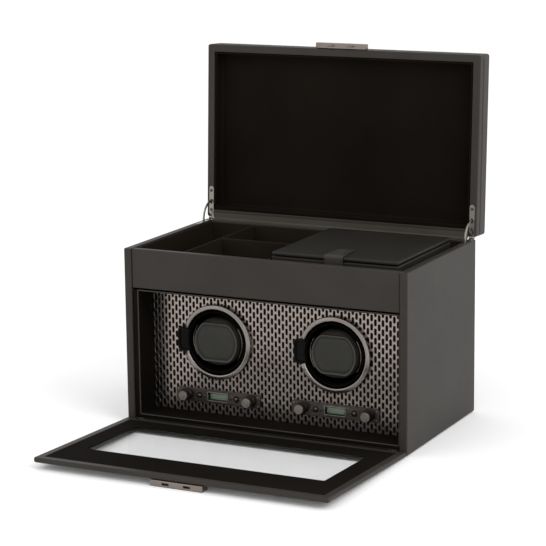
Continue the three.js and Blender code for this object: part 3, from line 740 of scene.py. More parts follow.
def cellRing(halfWidth, halfHeight):
    # twelve points round the cell, matched to its neighbours' half-step shift
    x = np.array([0, 1, 1, 1, 1, 1, 0, -1, -1, -1, -1, -1]) * halfWidth
    z = np.array([1, 1, 0.5, 0, -0.5, -1, -1, -1, -0.5, 0, 0.5, 1]) * halfHeight
    return np.stack([x, z], -1)


def slottedSheet(centres, keep, push, thickness, bounds, facing):
    # cells of one slot each: flat land, a rolled-over rim and the slot's wall; edges get their own wall
    p = perforation
    rings = np.stack([
        cellRing(p["columnPitch"] / 2, p["rowPitch"] / 2),
        slotRing(p["slotWidth"] / 2 + p["rollOver"], p["slotHeight"] / 2 + p["rollOver"]),
        slotRing(p["slotWidth"] / 2, p["slotHeight"] / 2),
    ])
    centres = centres[keep(centres[:, 0], centres[:, 1])]
    flat = centres[:, None, None] + rings[None]
    count = len(centres)
    corner, number = np.unique(np.round(flat[:, 0].reshape(-1, 2), 3), axis=0, return_inverse=True)
    shared = len(corner)
    number = number.reshape(count, 12)
    rim = shared + np.arange(count * 12).reshape(count, 12)
    slot = rim + count * 12
    plane = np.concatenate([corner, flat[:, 1].reshape(-1, 2), flat[:, 2].reshape(-1, 2)])
    plane = np.clip(push(plane), (bounds[0], bounds[2]), (bounds[1], bounds[3]))
    height = np.zeros(len(plane))
    height[shared + count * 12:] = -p["rollOver"]
    front = np.concatenate([plane, height[:, None]], -1)
    behind = np.concatenate([plane, np.full((len(plane), 1), -thickness)], -1)
    total = len(plane)

    def ringQuads(a, b):
        return np.stack([a, b, np.roll(b, -1, 1), np.roll(a, -1, 1)], -1).reshape(-1, 4)

    faces = [ringQuads(number, rim), ringQuads(rim, slot)]
    back = ringQuads(slot + total, number + total)
    faces += [back, ringQuads(slot, slot + total)]
    lands = np.stack([number, np.roll(number, -1, 1)], -1).reshape(-1, 2)
    key = np.sort(lands, 1)
    _, first, times = np.unique(key[:, 0] * total + key[:, 1], return_index=True, return_counts=True)
    border = lands[first[times == 1]]
    faces.append(np.stack([border[:, 0], border[:, 1], border[:, 1] + total, border[:, 0] + total], -1))
    points = np.concatenate([front, behind])
    used = np.unique(np.concatenate(faces))
    renumber = np.zeros(len(points), int)
    renumber[used] = np.arange(len(used))
    return points[used] @ facing.T, renumber[np.concatenate(faces)].tolist()


def cellCentres(x0, x1, z0, z1, firstX, firstZ):
    # centres of a field of slots, every other column half a step down
    p = perforation
    wide, tall = p["columnPitch"], p["rowPitch"]
    columns = np.arange(math.floor((x0 - firstX) / wide), math.ceil((x1 - firstX) / wide) + 1)
    rows = np.arange(math.floor((z0 - firstZ) / tall) - 1, math.ceil((z1 - firstZ) / tall) + 2)
    c, r = np.meshgrid(columns, rows, indexing="ij")
    x = firstX + c * wide
    z = firstZ + (r + 0.5 * (c % 2)) * tall
    inside = (z > z0 - tall / 2 + 0.05) & (z < z1 + tall / 2 - 0.05)
    inside &= (x > x0 - wide / 2 + 0.05) & (x < x1 + wide / 2 - 0.05)
    return np.stack([x[inside], z[inside]], -1)


# finger notch at the left of each ring, measured across from the ring's middle
notch = {"from": -49.5, "to": -24, "bottom": 82.0, "top": 107.5, "corner": 5.0, "flange": 1.3}

controls = {
    "plateHalf": (53.0, 8.0), "corner": 3.0, "chamfer": 0.5, "z": 31.5,
    "knobX": 40.0, "buttonX": 23.3, "lampX": 17.3, "screenHalf": (12.3, 4.6),
    "screenDepth": 2.0,
    "flutes": 18, "fluteDepth": 0.42,
}
panelGap = {"halfWidth": 50.0, "halfHeight": 6.4}  # clearing behind each control plate


def plateKeep(x, z):
    # slots stay where they clear the ring, the notch and the room behind the control plate
    keep = np.ones(len(x), bool)
    for side in (-1, 1):
        cx = side * perforation["ringX"]
        keep &= np.hypot(x - cx, z - perforation["ringZ"]) > perforation["ringHole"] - 1.2
        inNotch = (x > cx + notch["from"] + 1) & (x < cx) & (z > notch["bottom"] + 2) & (z < notch["top"] - 2)
        keep &= ~inNotch
        behindX = abs(x - cx) < panelGap["halfWidth"] - 2
        behindZ = abs(z - controls["z"]) < panelGap["halfHeight"] - 1.5
        keep &= ~(behindX & behindZ)
    return keep


def platePush(plane):
    # points inside a clearing are carried out to its edge
    plane = plane.copy()
    for side in (-1, 1):
        cx, cz = side * perforation["ringX"], perforation["ringZ"]
        away = plane - (cx, cz)
        far = np.maximum(np.hypot(*away.T), 1e-6)
        inside = far < perforation["ringHole"]
        plane[inside] = (away * (perforation["ringHole"] / far)[:, None] + (cx, cz))[inside]
        # the notch's clearing is a rectangle with round corners: the way out is the slope of its distance
        middle = np.array([cx + (notch["from"] + notch["to"]) / 2, (notch["bottom"] + notch["top"]) / 2])
        half = np.array([notch["to"] - notch["from"], notch["top"] - notch["bottom"]]) / 2
        r = notch["corner"]
        off = plane - middle
        q = abs(off) - (half - r)
        outer = np.maximum(q, 0)
        length = np.hypot(*outer.T)
        distance = length + np.minimum(q.max(1), 0) - r
        nearest = (q == q.max(1, keepdims=True)).astype(float)
        slope = np.where(length[:, None] > 1e-6, outer / np.maximum(length, 1e-6)[:, None], nearest) * np.sign(off)
        inside = (distance < 0) & (plane[:, 0] < cx + notch["to"])
        plane[inside] = (plane - slope * distance[:, None])[inside]
        # behind the control plate only the height matters
        x, z = plane.T
        near = (abs(x - cx) < panelGap["halfWidth"]) & (abs(z - controls["z"]) < panelGap["halfHeight"])
        lift = np.where(z >= controls["z"], panelGap["halfHeight"], -panelGap["halfHeight"])
        plane[near, 1] = (controls["z"] + lift)[near]
    return plane


def makePlate():
    p = perforation
    low, high = boxOf("perforated_plate")
    bounds = (low[0], high[0], low[2], high[2])
    centres = cellCentres(*bounds, p["firstX"], p["firstZ"])
    points, faces = slottedSheet(centres, plateKeep, platePush, p["sheet"], bounds, forward)
    makePiece("slotted_plate", (points + (0, low[1], 0), faces), "cabinet", finishes["mesh"],
              ["perforated_plate"], tidy=False, weighted=False)
    # black screen board close behind the plate, so that nothing shows through the slots: a dark sheet that paints the
    # shade inside
    board = slabShell((low[0] + 1, high[1] + 0.2, low[2] + 0.5), (high[0] - 1, high[1] + 0.7, high[2] - 0.5), 0.2,
                      forward)
    front, behind, r = -80, -50, p["drumHole"]  # the cutters reach through the board
    half, bottom, top = p["panelHole"]
    centresX = (-p["ringX"], p["ringX"])
    holes = [latheShell([(0, front), (r, front), (r, behind), (0, behind)], (x, 0, p["ringZ"])) for x in centresX]
    holes += [boxShell((x - half, front, bottom), (x + half, behind, top)) for x in centresX]
    makePiece("plate_shade_screen", board, "cabinet", finishes["plastic"], cuts=holes)


makePlate()
print("plate punched")


winder = {
    "centreX": 72.5, "centreZ": 95.5, "plateFront": -65.5,
    "ringInner": 37.2, "ringOuter": 43.0, "ringHeight": 5.8,
    "drumInner": 33.4, "drumOuter": 35.8,
}


def ringShell(cx):
    # the bead's section carried round the circle from one side of the notch to the other
    w = winder
    y0 = w["plateFront"] - 0.05
    half = (w["ringOuter"] - w["ringInner"]) / 2
    middle = (w["ringOuter"] + w["ringInner"]) / 2
    a, b = np.radians(np.linspace(0, 78, 6)), np.radians(np.linspace(82, 180, 8))
    tall, outerRound, innerRound = w["ringHeight"], 1.1, 1.9
    section = np.concatenate([
        [[half, 0.0]],
        np.stack([half - outerRound * (1 - np.cos(a)), tall - 0.7 - outerRound * (1 - np.sin(a))], -1),
        np.stack([innerRound * (1 + np.cos(b)) - half, tall - innerRound * (1 - np.sin(b))], -1),
        [[-half, 0.0]],
    ])
    top, bottom = math.asin(12.6 / middle), math.asin(13.6 / middle)
    turn = np.linspace(-math.pi + bottom, math.pi - top, 121)
    r = middle + section[None, :, 0]
    # both ends lean into the notch, so the bead tapers off instead of stopping square
    lean = np.exp(-((turn - turn[0]) / 0.06))[:, None] + np.exp((turn - turn[-1]) / 0.06)[:, None]
    y = y0 - section[None, :, 1] * (1 - 0.35 * lean)
    x = cx + r * np.cos(turn)[:, None]
    z = w["centreZ"] + r * np.sin(turn)[:, None]
    return gridShell(np.stack([x, np.broadcast_to(y, x.shape), z], -1))


def notchShell(cx):
    # a tray let into the plate beside the ring: flange, sloping wall and floor
    left, right = cx + notch["from"] - notch["flange"], cx - 34.0
    bottom, top = notch["bottom"] - notch["flange"], notch["top"] + notch["flange"]
    r = notch["corner"]
    outer = (left, right, bottom, top, r)
    rows = np.concatenate([
        [[left + 1.6, right, bottom + 1.6, top - 1.6, r, -9.5]],
        [[left + 1.6, right, bottom + 1.6, top - 1.6, r, -0.2]],
        roundEdge(outer, 0.5, 0.1, 0.5, 0, 90),
        [[left + 1.9, right, bottom + 1.9, top - 1.9, r - 0.6, 0.5]],
        [[left + 3.9, right, bottom + 3.5, top - 3.5, r - 1.4, -7.5]],
    ])
    rows[:, 1] = right
    points, faces = rectangleShell(rows, forward)
    return points + (0, winder["plateFront"], 0), faces


def drumShell(cx):
    # rim, outer wall, back and inner wall of an open drum, with a turned-in lip
    w = winder
    i, o = w["drumInner"], w["drumOuter"]
    lip = (o - i) / 2
    front = w["plateFront"] - 5
    profile = np.concatenate([
        arcProfile((i + lip, front + lip), lip, 180, 360, 8),
        [[o, -17.0], [o - 0.8, -16.0], [4.4, -16.0], [4.4, -18.4]],
        arcProfile((i - 2.5, -21.0), 2.5, 90, 0, 6),
        [[i, -30.0], [i - 0.35, -30.4], [i - 0.35, -31.2], [i, -31.6], [i, front + 4.0]],
    ])
    steps = 96
    points, _ = latheShell(profile, (cx, 0, w["centreZ"]), steps=steps)
    return points, gridFaces(len(profile), steps, closedRows=True).tolist()


cuff = {
    "front": -72.0, "faceRadius": 26.3, "faceHalfHeight": 21.6, "faceCorner": 3.2,
    "sideRadius": 28.4, "sideHalfHeight": 27.0, "sideCorner": 6.0, "back": -40.0,
    "pipeRadius": 0.62, "stitchInset": 2.7, "stitchPitch": 2.15, "stitchLength": 1.4, "stitchRadius": 0.44,
}


def crownedShell(outline, levels, crown, rings, centre, facing=forward):
    # an outline drawn in level by level, then closed by rings that shrink to its middle over a crown
    levels = np.array(levels, float)
    flat = outline[None] - outlineNormals(outline)[None] * levels[:, 0, None, None]
    last, top = flat[-1], levels[-1, 1]
    share = np.linspace(1, 0.04, rings)[1:, None, None]
    inner = last[None] * share
    high = top + crown * (1 - share ** 2)
    body = np.concatenate([flat, np.broadcast_to(levels[:, 1, None, None], flat.shape[:2] + (1,))], -1)
    lid = np.concatenate([inner, np.broadcast_to(high, inner.shape[:2] + (1,))], -1)
    return gridShell(np.concatenate([body, lid]) @ facing.T + np.array(centre, float))


def makeCuff(side, cx):
    c = cuff
    body, cz = f"{side}_cuff", winder["centreZ"]
    # padded cushion behind the face, its sides drawn in between its ends
    outline = barrelOutline(c["sideRadius"], c["sideHalfHeight"], c["sideCorner"])
    depth = c["front"] + 3.4 - c["back"]  # negative: the cushion runs back from behind the face
    a = np.radians(np.linspace(-90, 0, 6))
    b = np.radians(np.linspace(0, 90, 8))
    back = -c["back"]
    levels = np.concatenate([
        np.stack([3 - 3 * np.cos(a), back + 3 + 3 * np.sin(a)], -1),
        [[-0.25, back + 12], [0.35, back + 16], [-0.1, back + 21]],
        np.stack([5.5 - 5.5 * np.cos(b), back - depth - 5.5 + 5.5 * np.sin(b)], -1),
    ])
    cushion = crownedShell(outline, levels, 0.5, 6, (cx, 0, cz))
    piece = makePiece(f"{side}_cuff_cushion", cushion, body, finishes["cuffSide"],
                      [f"{side}_cuff_pad"], sharp=60)
    face = barrelOutline(c["faceRadius"], c["faceHalfHeight"], c["faceCorner"])
    front = -c["front"]
    soft = np.radians(np.linspace(0, 90, 6))
    levels = np.concatenate([
        [[0.4, front - 3.9]],
        np.stack([1.1 - 1.1 * np.cos(soft), front - 2.2 + 1.1 * np.sin(soft)], -1),
        [[1.9, front - 1.25], [c["stitchInset"], front - 1.5], [c["stitchInset"] + 0.8, front - 1.0],
         [4.6, front - 0.55], [7.0, front - 0.3]],
    ])
    pad = crownedShell(face, levels, 0.28, 8, (cx, 0, cz))
    piece = makePiece(f"{side}_cuff_face", pad, body, finishes["cuffLeather"],
                      [f"{side}_cuff_pad"], sharp=60)
    n = outlineNormals(face)
    edge = face - n * 0.35
    path = np.stack([cx + edge[:, 0], np.full(len(edge), c["front"] + 1.25), cz + edge[:, 1]], -1)
    makePiece(f"{side}_cuff_piping", carryShell(path, circleProfile(c["pipeRadius"]), (0, -1, 0), closed=True),
              body, finishes["piping"])
    line = face - n * c["stitchInset"]
    path = np.stack([cx + line[:, 0], np.full(len(line), c["front"] + 1.3), cz + line[:, 1]], -1)
    seam = copiesOf(threadShell(c["stitchLength"], c["stitchRadius"]),
                    seamMatrices(path, (0, -1, 0), c["stitchPitch"], closed=True))
    makePiece(f"{side}_cuff_seam", seam, body, finishes["thread"], tidy=False, weighted=False)
    # plastic core: back disc, block and two springy side wings with polished front edges
    disc = latheShell([(0, -19.1), (30.4, -19.1), (31, -19.7), (31, -21.4), (30.4, -22), (0, -22)],
                      (cx, 0, cz), steps=72)
    block = outlineShell(roundedOutline(44, 40, 9), [(0.6, 20.4), (0, 21.2), (0, 38.6), (0.8, 39.6)], (cx, 0, cz))
    wings, trims = [], []
    for middle in (0, math.pi):
        t = np.linspace(middle - 0.7, middle + 0.7, 25)
        arc = np.stack([cx + 30.5 * np.cos(t), np.full(25, -43.6), cz + 30.5 * np.sin(t)], -1)
        section = roundedOutline(1.8, 44.6, 0.7, 3)
        wings.append(carryShell(arc, section, (0, -1, 0)))
        arc = arc[2:-2] + (0, 43.6 - 65.8, 0)
        trims.append(carryShell(arc, circleProfile(0.42), (0, -1, 0)))
    makePiece(f"{side}_cuff_frame", joinShells(disc, block, *wings), body, finishes["drum"],
              [f"{side}_cuff_core"])
    makePiece(f"{side}_wing_trim", joinShells(*trims), body, finishes["ring"])


def knobShell(x):
    # a knurled knob: radius along its length from a profile, with flutes cut into the grip
    k = controls
    z, base = k["z"], winder["plateFront"] - 0.3 - 2.2 - 0.6
    steps = k["flutes"] * 8
    turn = np.linspace(0, 2 * math.pi, steps, endpoint=False)
    profile = np.array([
        (0.0, 4.6, 0), (2.2, 4.6, 0), (2.2, 0.0, 0), (6.7, 0.0, 0), (7.0, -0.3, 0), (7.0, -0.9, 0), (6.7, -1.2, 0),
        (6.6, -1.3, 0.3), (6.6, -1.9, 1), (6.5, -5.2, 1), (6.4, -8.0, 1), (6.2, -8.6, 0.5), (5.9, -8.9, 0),
        (5.6, -8.95, 0), (0.6, -8.95, 0), (0.0, -8.95, 0)])
    wave = 0.5 - 0.5 * np.cos(turn * k["flutes"])
    wave = np.clip(wave * 1.6 - 0.3, 0, 1)[None, :]
    r = profile[:, :1] - profile[:, 2:] * k["fluteDepth"] * wave
    y = np.broadcast_to(base + profile[:, 1:2], r.shape)
    return gridShell(np.stack([x + r * np.cos(turn), y, z + r * np.sin(turn)], -1))


def makeControls(side, cx):
    # the plate, then what stands in it from the middle outwards
    k = controls
    z, front = k["z"], winder["plateFront"]
    top = 2.5
    outline = roundedOutline(2 * k["plateHalf"][0], 2 * k["plateHalf"][1], k["corner"])
    plate = outlineShell(outline, [(0, 0.15), (0, top - k["chamfer"]), (k["chamfer"] * 0.6, top - 0.1),
                                   (k["chamfer"] * 1.3, top)], (cx, front, z))
    w, h = k["screenHalf"]
    cuts = [boxShell((cx - w - 0.3, front - 9, z - h - 0.3), (cx + w + 0.3, front + 9, z + h + 0.3))]
    for dx in (-k["knobX"], -k["buttonX"], k["buttonX"], k["knobX"]):
        cuts.append(latheShell([(0, front - 9), (2.95, front - 9), (2.95, front + 9), (0, front + 9)],
                               (cx + dx, 0, z), steps=32))
    makePiece(f"{side}_control_face", plate, "cabinet", finishes["controls"],
              [f"{side}_control_plate"], cuts=cuts)
    screws = [screwShell((cx + sx * 50, front - top, z + sz * 5.2), 1.0) for sx in (-1, 1) for sz in (-1, 1)]
    makePiece(f"{side}_control_screws", joinShells(*screws), "cabinet", finishes["steel"])
    # display: a raised bezel, dark walls and the pane sunk behind them
    bezel = frameShell((cx - w - 0.9, cx + w + 0.9, z - h - 0.9, z + h + 0.9),
                       (cx - w + 0.3, cx + w - 0.3, z - h + 0.3, z + h - 0.3), top - 0.6 - front, top + 0.6 - front,
                       0.3, forward, corner=1.0, innerCorner=0.5)
    makePiece(f"{side}_display_bezel", bezel, "cabinet", finishes["ring"])
    tray = frameShell((cx - w + 0.1, cx + w - 0.1, z - h + 0.1, z + h - 0.1),
                      (cx - w + 0.7, cx + w - 0.7, z - h + 0.6, z + h - 0.6), -front - k["screenDepth"] - 0.4,
                      top - 0.1 - front, 0.15, forward, corner=0.5, innerCorner=0.4)
    makePiece(f"{side}_display_walls", tray, "cabinet", finishes["plastic"],
              [f"{side}_display"])
    sunk = front + k["screenDepth"]
    pane = slabShell((cx - w + 0.6, sunk - 0.5, z - h + 0.5), (cx + w - 0.6, sunk, z + h - 0.5), 0.15, forward)
    makePiece(f"{side}_display_pane", pane, "cabinet", displayFinish(f"{side} display", (cx, front, z)),
              [f"{side}_display"])
    for name, dx in (("turns_knob", -k["knobX"]), ("direction_knob", k["knobX"])):
        body = f"{side}_{name}_body"
        # grip in the darkened metal (painted shade), cap in the lightened metal (painted light)
        makePiece(f"{side}_{name}_grip", knobShell(cx + dx), body, finishes["shadedKnobGrip"],
                  [f"{side}_{name}"], sharp=50)
        tip = front - 12.05
        cap = latheShell([(0, tip + 0.6), (5.35, tip + 0.6), (5.35, tip - 0.1), (5.1, tip - 0.34), (4.7, tip - 0.4),
                          (4.3, tip - 0.25), (2.0, tip - 0.36), (0, tip - 0.4)], (cx + dx, 0, z), steps=48)
        makePiece(f"{side}_{name}_cap", cap, body, finishes["litKnobFace"])
        dot = latheShell([(0, 0.0), (0.62, 0.0), (0.62, -0.3), (0.4, -0.42), (0, -0.42)],
                         (cx + dx + 1.9, front - 12.0, z - 2.4), steps=16)
        makePiece(f"{side}_{name}_mark", dot, body, finishes["plastic"])
    face = front - top
    for name, dx in (("start_button", -k["buttonX"]), ("mode_button", k["buttonX"])):
        dome = latheShell([(0, front + 2.0), (2.2, front + 2.0), (2.2, face - 0.9), (1.9, face - 1.25),
                           (1.3, face - 1.5), (0.6, face - 1.6), (0, face - 1.62)], (cx + dx, 0, z), steps=32)
        makePiece(f"{side}_{name}_cap", dome, f"{side}_{name}_body", finishes["controls"],
                  [f"{side}_{name}"])
        collar = latheShell([(2.45, face + 0.8), (2.45, face - 0.2), (2.7, face - 0.5), (3.3, face - 0.5),
                             (3.6, face - 0.2), (3.6, face + 0.8), (2.45, face + 0.8)], (cx + dx, 0, z), steps=40)
        makePiece(f"{side}_{name}_collar", collar, "cabinet", finishes["plastic"])
    lamps = []
    for dx in (-k["lampX"], k["lampX"]):
        lamps.append(latheShell([(0, face + 0.5), (1.15, face + 0.5), (1.15, face - 0.1), (0.8, face - 0.35),
                                 (0, face - 0.42)], (cx + dx, 0, z), steps=20))
    makePiece(f"{side}_lamps", joinShells(*lamps), "cabinet", finishes["lamp"])


def makeWinder(side, cx):
    # one winding module: new skins outside, and the drive behind the plate in its CAD shape
    makePiece(f"{side}_bezel_bead", ringShell(cx), "cabinet", finishes["ring"],
              [f"{side}_bezel_ring"], sharp=50)
    makePiece(f"{side}_finger_notch", notchShell(cx), "cabinet", finishes["plastic"])
    makePiece(f"{side}_drum_shell", drumShell(cx), f"{side}_rotor", finishes["drum"],
              [f"{side}_drum"], sharp=50)
    makeCuff(side, cx)
    makeControls(side, cx)
    for node, finish in (("winder_housing", "plastic"), ("bearing", "steel"), ("motor", "steel"),
                         ("motor_pulley", "plastic"), ("drive_belt", "rubber"), ("drum_pulley", "plastic")):
        dressNode(f"{side}_{node}", finish)


for winderSide, winderX in (("left", -winder["centreX"]), ("right", winder["centreX"])):
    makeWinder(winderSide, winderX)
dressNode("control_board", "laminate")
dressNode("door_hinge_rod", "steel")
print("winders assembled")


# the door is built shut and then swung down
door = {
    "edge": 2.6, "rim": 8.6, "sunk": 0.5, "window": (-140.0, 140.0, 37.0, 142.0), "rebate": 4.0,
    "slotX": 12.4, "slotHalf": 4.2, "earX": 155, "earHalf": 2.5, "earTop": 7.3,
}


def makeDoor():
    # the frame's section, as rows of rectangles round the window, then liner, pane and latch
    d = door
    low, high = shutBoxOf("door_frame", doorSwing)
    outer = (low[0], high[0], low[2], high[2], d["edge"])
    window = (*d["window"], 0.6)
    r = d["rebate"]
    rebate = (window[0] - r, window[1] + r, window[2] - r, window[3] + r, 0.6)
    outside, inside = -low[1], -high[1]  # heights towards the front
    e, rim = d["edge"], d["rim"]
    rimRect = (low[0] + rim, high[0] - rim, low[2] + rim, high[2] - rim, 1.0)
    rows = np.concatenate([
        roundEdge(outer, e, outside - e, e, 0, 90),
        roundEdge(window, -1.0, outside - 1.0, 1.0, 90, 180),
        [[*window[:4], 0.6, outside - 2.0]],
        [[*rebate[:4], 0.6, outside - 2.0]],
        [[*rebate[:4], 0.6, inside + d["sunk"] + 0.5]],
        [[*rimRect[:4], 1.0, inside + d["sunk"] + 0.5]],
        roundEdge(rimRect, -0.5, inside + 0.5, 0.5, 180, 270),
        roundEdge(outer, 1.6, inside + 1.6, 1.6, -90, 0),
    ])
    ear = d["earHalf"]
    ears = [boxShell((s * d["earX"] - ear, low[1] - 2, low[2] - 2), (s * d["earX"] + ear, high[1] + 2, d["earTop"]))
            for s in (-1, 1)]
    makePiece("door_leather", rectangleShell(rows, forward, closed=True), "door", finishes["leather"],
              ["door_frame"], swing=doorSwing, cuts=ears)
    liner = frameShell((rimRect[0] + 0.15, rimRect[1] - 0.15, rimRect[2] + 0.15, rimRect[3] - 0.15),
                       (window[0] - 0.2, window[1] + 0.2, window[2] - 0.2, window[3] + 0.2),
                       inside + d["sunk"] - 0.3, inside + d["sunk"] + 0.55, 0.4, forward, corner=1.0, innerCorner=1.2)
    makePiece("door_liner", liner, "door", finishes["doorSuede"], swing=doorSwing)
    glow, ghigh = shutBoxOf("door_glass", doorSwing)
    makePiece("door_pane", slabShell(glow, ghigh, 0.5, forward), "door", finishes["glass"],
              ["door_glass"], swing=doorSwing)
    plow, phigh = shutBoxOf("door_latch_plate", doorSwing)
    half = d["slotHalf"]
    slots = [slabShell((s * d["slotX"] - half, plow[1] + 2, phigh[2] - 5),
                       (s * d["slotX"] + half, phigh[1] - 2, phigh[2] + 3), 0.9) for s in (-1, 1)]
    makePiece("door_latch", slabShell(plow, phigh, 0.7, forward), "door", finishes["fittings"],
              ["door_latch_plate"], swing=doorSwing, cuts=slots)
    screws = [screwShell((s * 24, plow[1], (plow[2] + phigh[2]) / 2), 1.6) for s in (-1, 1)]
    makePiece("latch_screws", joinShells(*screws), "door", finishes["steel"], swing=doorSwing)


makeDoor()
print("door hung")


# the lid is built shut and then swung up
lid = {"edge": 1.6, "rim": 8.8, "coverFrom": 211.6, "core": 1.1, "cornerRound": 3.0, "pad": 2.0, "hollow": 15.0,
       "seamUp": 1.5, "seamPitch": 3.0, "skin": 0.55, "bead": 1.7}


def makeLid():
    # frame: from inside the cover down the skirt, under the rim and up to the lining
    low, high = shutBoxOf("lid_frame", lidSwing)
    coverLow, coverHigh = shutBoxOf("lid_cover", lidSwing)
    e, rim = lid["edge"], lid["rim"]
    skirt = (low[0], high[0], low[1], high[1], lid["cornerRound"])
    inset = 1.7
    core = (low[0] + inset, high[0] - inset, low[1] + inset, high[1] - inset, 1.5)
    mouth = (low[0] + rim, high[0] - rim, low[1] + rim, high[1] - rim, 1.0)
    step = lid["coverFrom"] - 0.4
    rows = np.concatenate([
        [[*core[:4], 1.5, coverHigh[2] - 1.6]],
        [[*core[:4], 1.5, step]],
        roundEdge(skirt, 0.8, step - 0.8, 0.8, 90, 0),
        roundEdge(skirt, e, low[2] + e, e, 0, -90),
        roundEdge(mouth, -1.0, low[2] + 1.0, 1.0, 270, 180),
        [[*mouth[:4], 1.0, coverHigh[2] - 5.2]],
    ])
    cuts = []
    for side in (-1, 1):
        cuts += hingeCuts(side * boards["hingeX"], low[2] - 2, low[2] + 1.3, *boards["lidPocket"])
    makePiece("lid_leather", rectangleShell(rows), "lid", finishes["leather"], ["lid_frame"],
              swing=lidSwing, cuts=cuts)
    # padded lining: rolled lip round the mouth, sloping walls and a flat ceiling
    llow, lhigh = shutBoxOf("lid_lining", lidSwing)
    outer = (llow[0], lhigh[0], llow[1], lhigh[1], 1.0)
    p = lid["pad"]
    wall = (outer[0] + p, outer[1] - p, outer[2] + p, outer[3] - p - 2.2, 2.0)
    ceiling = llow[2] + lid["hollow"]
    rows = np.concatenate([
        [[*outer[:4], 1.0, lhigh[2]]],
        roundEdge(outer, 0.7, llow[2] + 0.9, 0.7, 0, -90),
        roundEdge(wall, -0.9, llow[2] + 0.9, 0.9, 270, 180),
        roundEdge(wall, 3.0, ceiling - 3.0, 3.0, 0, 90, 6),
    ])
    makePiece("lid_suede", rectangleShell(rows), "lid", finishes["suede"], ["lid_lining"],
              swing=lidSwing)
    # cover: a leather band round four sides, stitched along its lower edge, and a slotted bronze skin on top
    c = lid["core"]
    band = (coverLow[0], coverHigh[0], coverLow[1], coverHigh[1], lid["cornerRound"])
    shell = (coverLow[0] + c, coverHigh[0] - c, coverLow[1] + c, coverHigh[1] - c, lid["cornerRound"] - c)
    inner = (coverLow[0] + 1.25, coverHigh[0] - 1.25, coverLow[1] + 1.25, coverHigh[1] - 1.25, 1.5)
    bandTop = coverHigh[2] - 1.78
    rows = np.concatenate([
        [[*inner[:4], 1.5, coverHigh[2] - 1.45]],
        [[*inner[:4], 1.5, lid["coverFrom"] + 0.1]],
        roundEdge(band, 0.6, lid["coverFrom"] + 0.66, 0.6, -90, 0, 4),
        roundEdge(band, 0.4, bandTop - 0.4, 0.4, 0, 90, 3),
        [[*shell, bandTop]],
        roundEdge(shell, 0.3, coverHigh[2] - c - 0.3, 0.3, 0, 90, 2),
    ])
    makePiece("cover_sheet", rectangleShell(rows), "lid", finishes["coverBand"], ["lid_cover"],
              swing=lidSwing)
    makeCoverSeam(coverLow, coverHigh)
    makeCoverSkins(coverLow, coverHigh)
    clow, chigh = shutBoxOf("lid_clasp", lidSwing)
    plate = slabShell((clow[0], clow[1], lid["coverFrom"] - 10), (chigh[0], chigh[1], chigh[2]), 0.8, forward)
    hook = door["slotX"]
    hooks = [slabShell((s * hook - 3.6, clow[1] + 2.6, clow[2]), (s * hook + 3.6, chigh[1] - 2.6, chigh[2] - 2), 0.6)
             for s in (-1, 1)]
    makePiece("lid_clasp_bar", plate, "lid", finishes["fittings"], ["lid_clasp"], swing=lidSwing)
    makePiece("lid_clasp_hooks", joinShells(*hooks), "lid", finishes["fittings"], swing=lidSwing)


def skinField(x0, x1, y0, y1):
    # a rectangle of slots with a plain margin, its slots centred on the middle
    p = perforation
    columns = int((x1 - x0 - 4) // p["columnPitch"])
    firstX = (x0 + x1) / 2 - (columns - 1) / 2 * p["columnPitch"]
    a0, a1 = firstX - p["columnPitch"] / 2, firstX + (columns - 0.5) * p["columnPitch"]
    centres = cellCentres(a0 + 1, a1 - 1, y0, y1, firstX, y0 + p["rowPitch"] / 2)
    centres = centres[(centres[:, 0] > a0) & (centres[:, 0] < a1)]

    def keepAll(x, z):
        return np.ones(len(x), bool)

    def widen(plane):
        # the outermost columns are stretched to the sheet's edge
        plane = plane.copy()
        plane[abs(plane[:, 0] - a0) < 0.01, 0] = x0
        plane[abs(plane[:, 0] - a1) < 0.01, 0] = x1
        return plane

    return slottedSheet(centres, keepAll, widen, lid["skin"], (x0, x1, y0, y1), up)


def makeCoverSeam(low, high):
    # a straight row of threads along each side of the band, a little above its lower edge
    z = lid["coverFrom"] + lid["seamUp"]
    clear = lid["cornerRound"] + 1.0
    x0, x1, y0, y1 = low[0] + clear, high[0] - clear, low[1] + clear, high[1] - clear
    runs = [([(x0, low[1], z), (x1, low[1], z)], (0, -1, 0)), ([(high[0], y0, z), (high[0], y1, z)], (1, 0, 0)),
            ([(x1, high[1], z), (x0, high[1], z)], (0, 1, 0)), ([(low[0], y1, z), (low[0], y0, z)], (-1, 0, 0))]
    seams = [copiesOf(threadShell(), seamMatrices(path, normal, lid["seamPitch"])) for path, normal in runs]
    makePiece("cover_seam", joinShells(*seams), "lid", finishes["thread"], swing=lidSwing,
              tidy=False, weighted=False)


def makeCoverSkins(low, high):
    # one slotted skin on top, inside a rounded bead
    m = 1.6
    points, faces = skinField(low[0] + m, high[0] - m, low[1] + m, high[1] - m)
    makePiece("cover_skins", (points + (0, 0, high[2]), faces), "lid", finishes["coverMesh"],
              swing=lidSwing, tidy=False, weighted=False)
    # edge bead: rows of rectangles that turn from the side onto the top
    rect = (low[0], high[0], low[1], high[1], lid["cornerRound"])
    b = lid["bead"]
    rows = np.concatenate([
        roundEdge(rect, b, high[2] - b, b, 0, 90, 5),
        [[low[0] + b, high[0] - b, low[1] + b, high[1] - b, 1.3, high[2] - 1.05]],
        [[low[0] + 1.15, high[0] - 1.15, low[1] + 1.15, high[1] - 1.15, 1.8, high[2] - b]],
    ])
    makePiece("cover_edge", rectangleShell(rows, closed=True), "lid", finishes["coverMesh"],
              swing=lidSwing)


makeLid()
print("lid raised")


# a quadrant stay hinge: two leaves on a pin, and an arm that slides through both
hinge = {
    "half": 3.1, "thickness": 1.0, "length": 34.0, "corner": 3.0, "slotHalf": 1.35, "knuckle": 2.2,
    "bodyTop": 201.1, "lidBottom": 201.4, "slotFrom": 22.3, "slotTo": 16.6,
    "screwIn": 5.5, "screwRadius": 1.7, "stayRadius": 20.3, "staySweep": (81.2, 186),
    "foldHalf": 162.0, "foldThickness": 0.2,
}


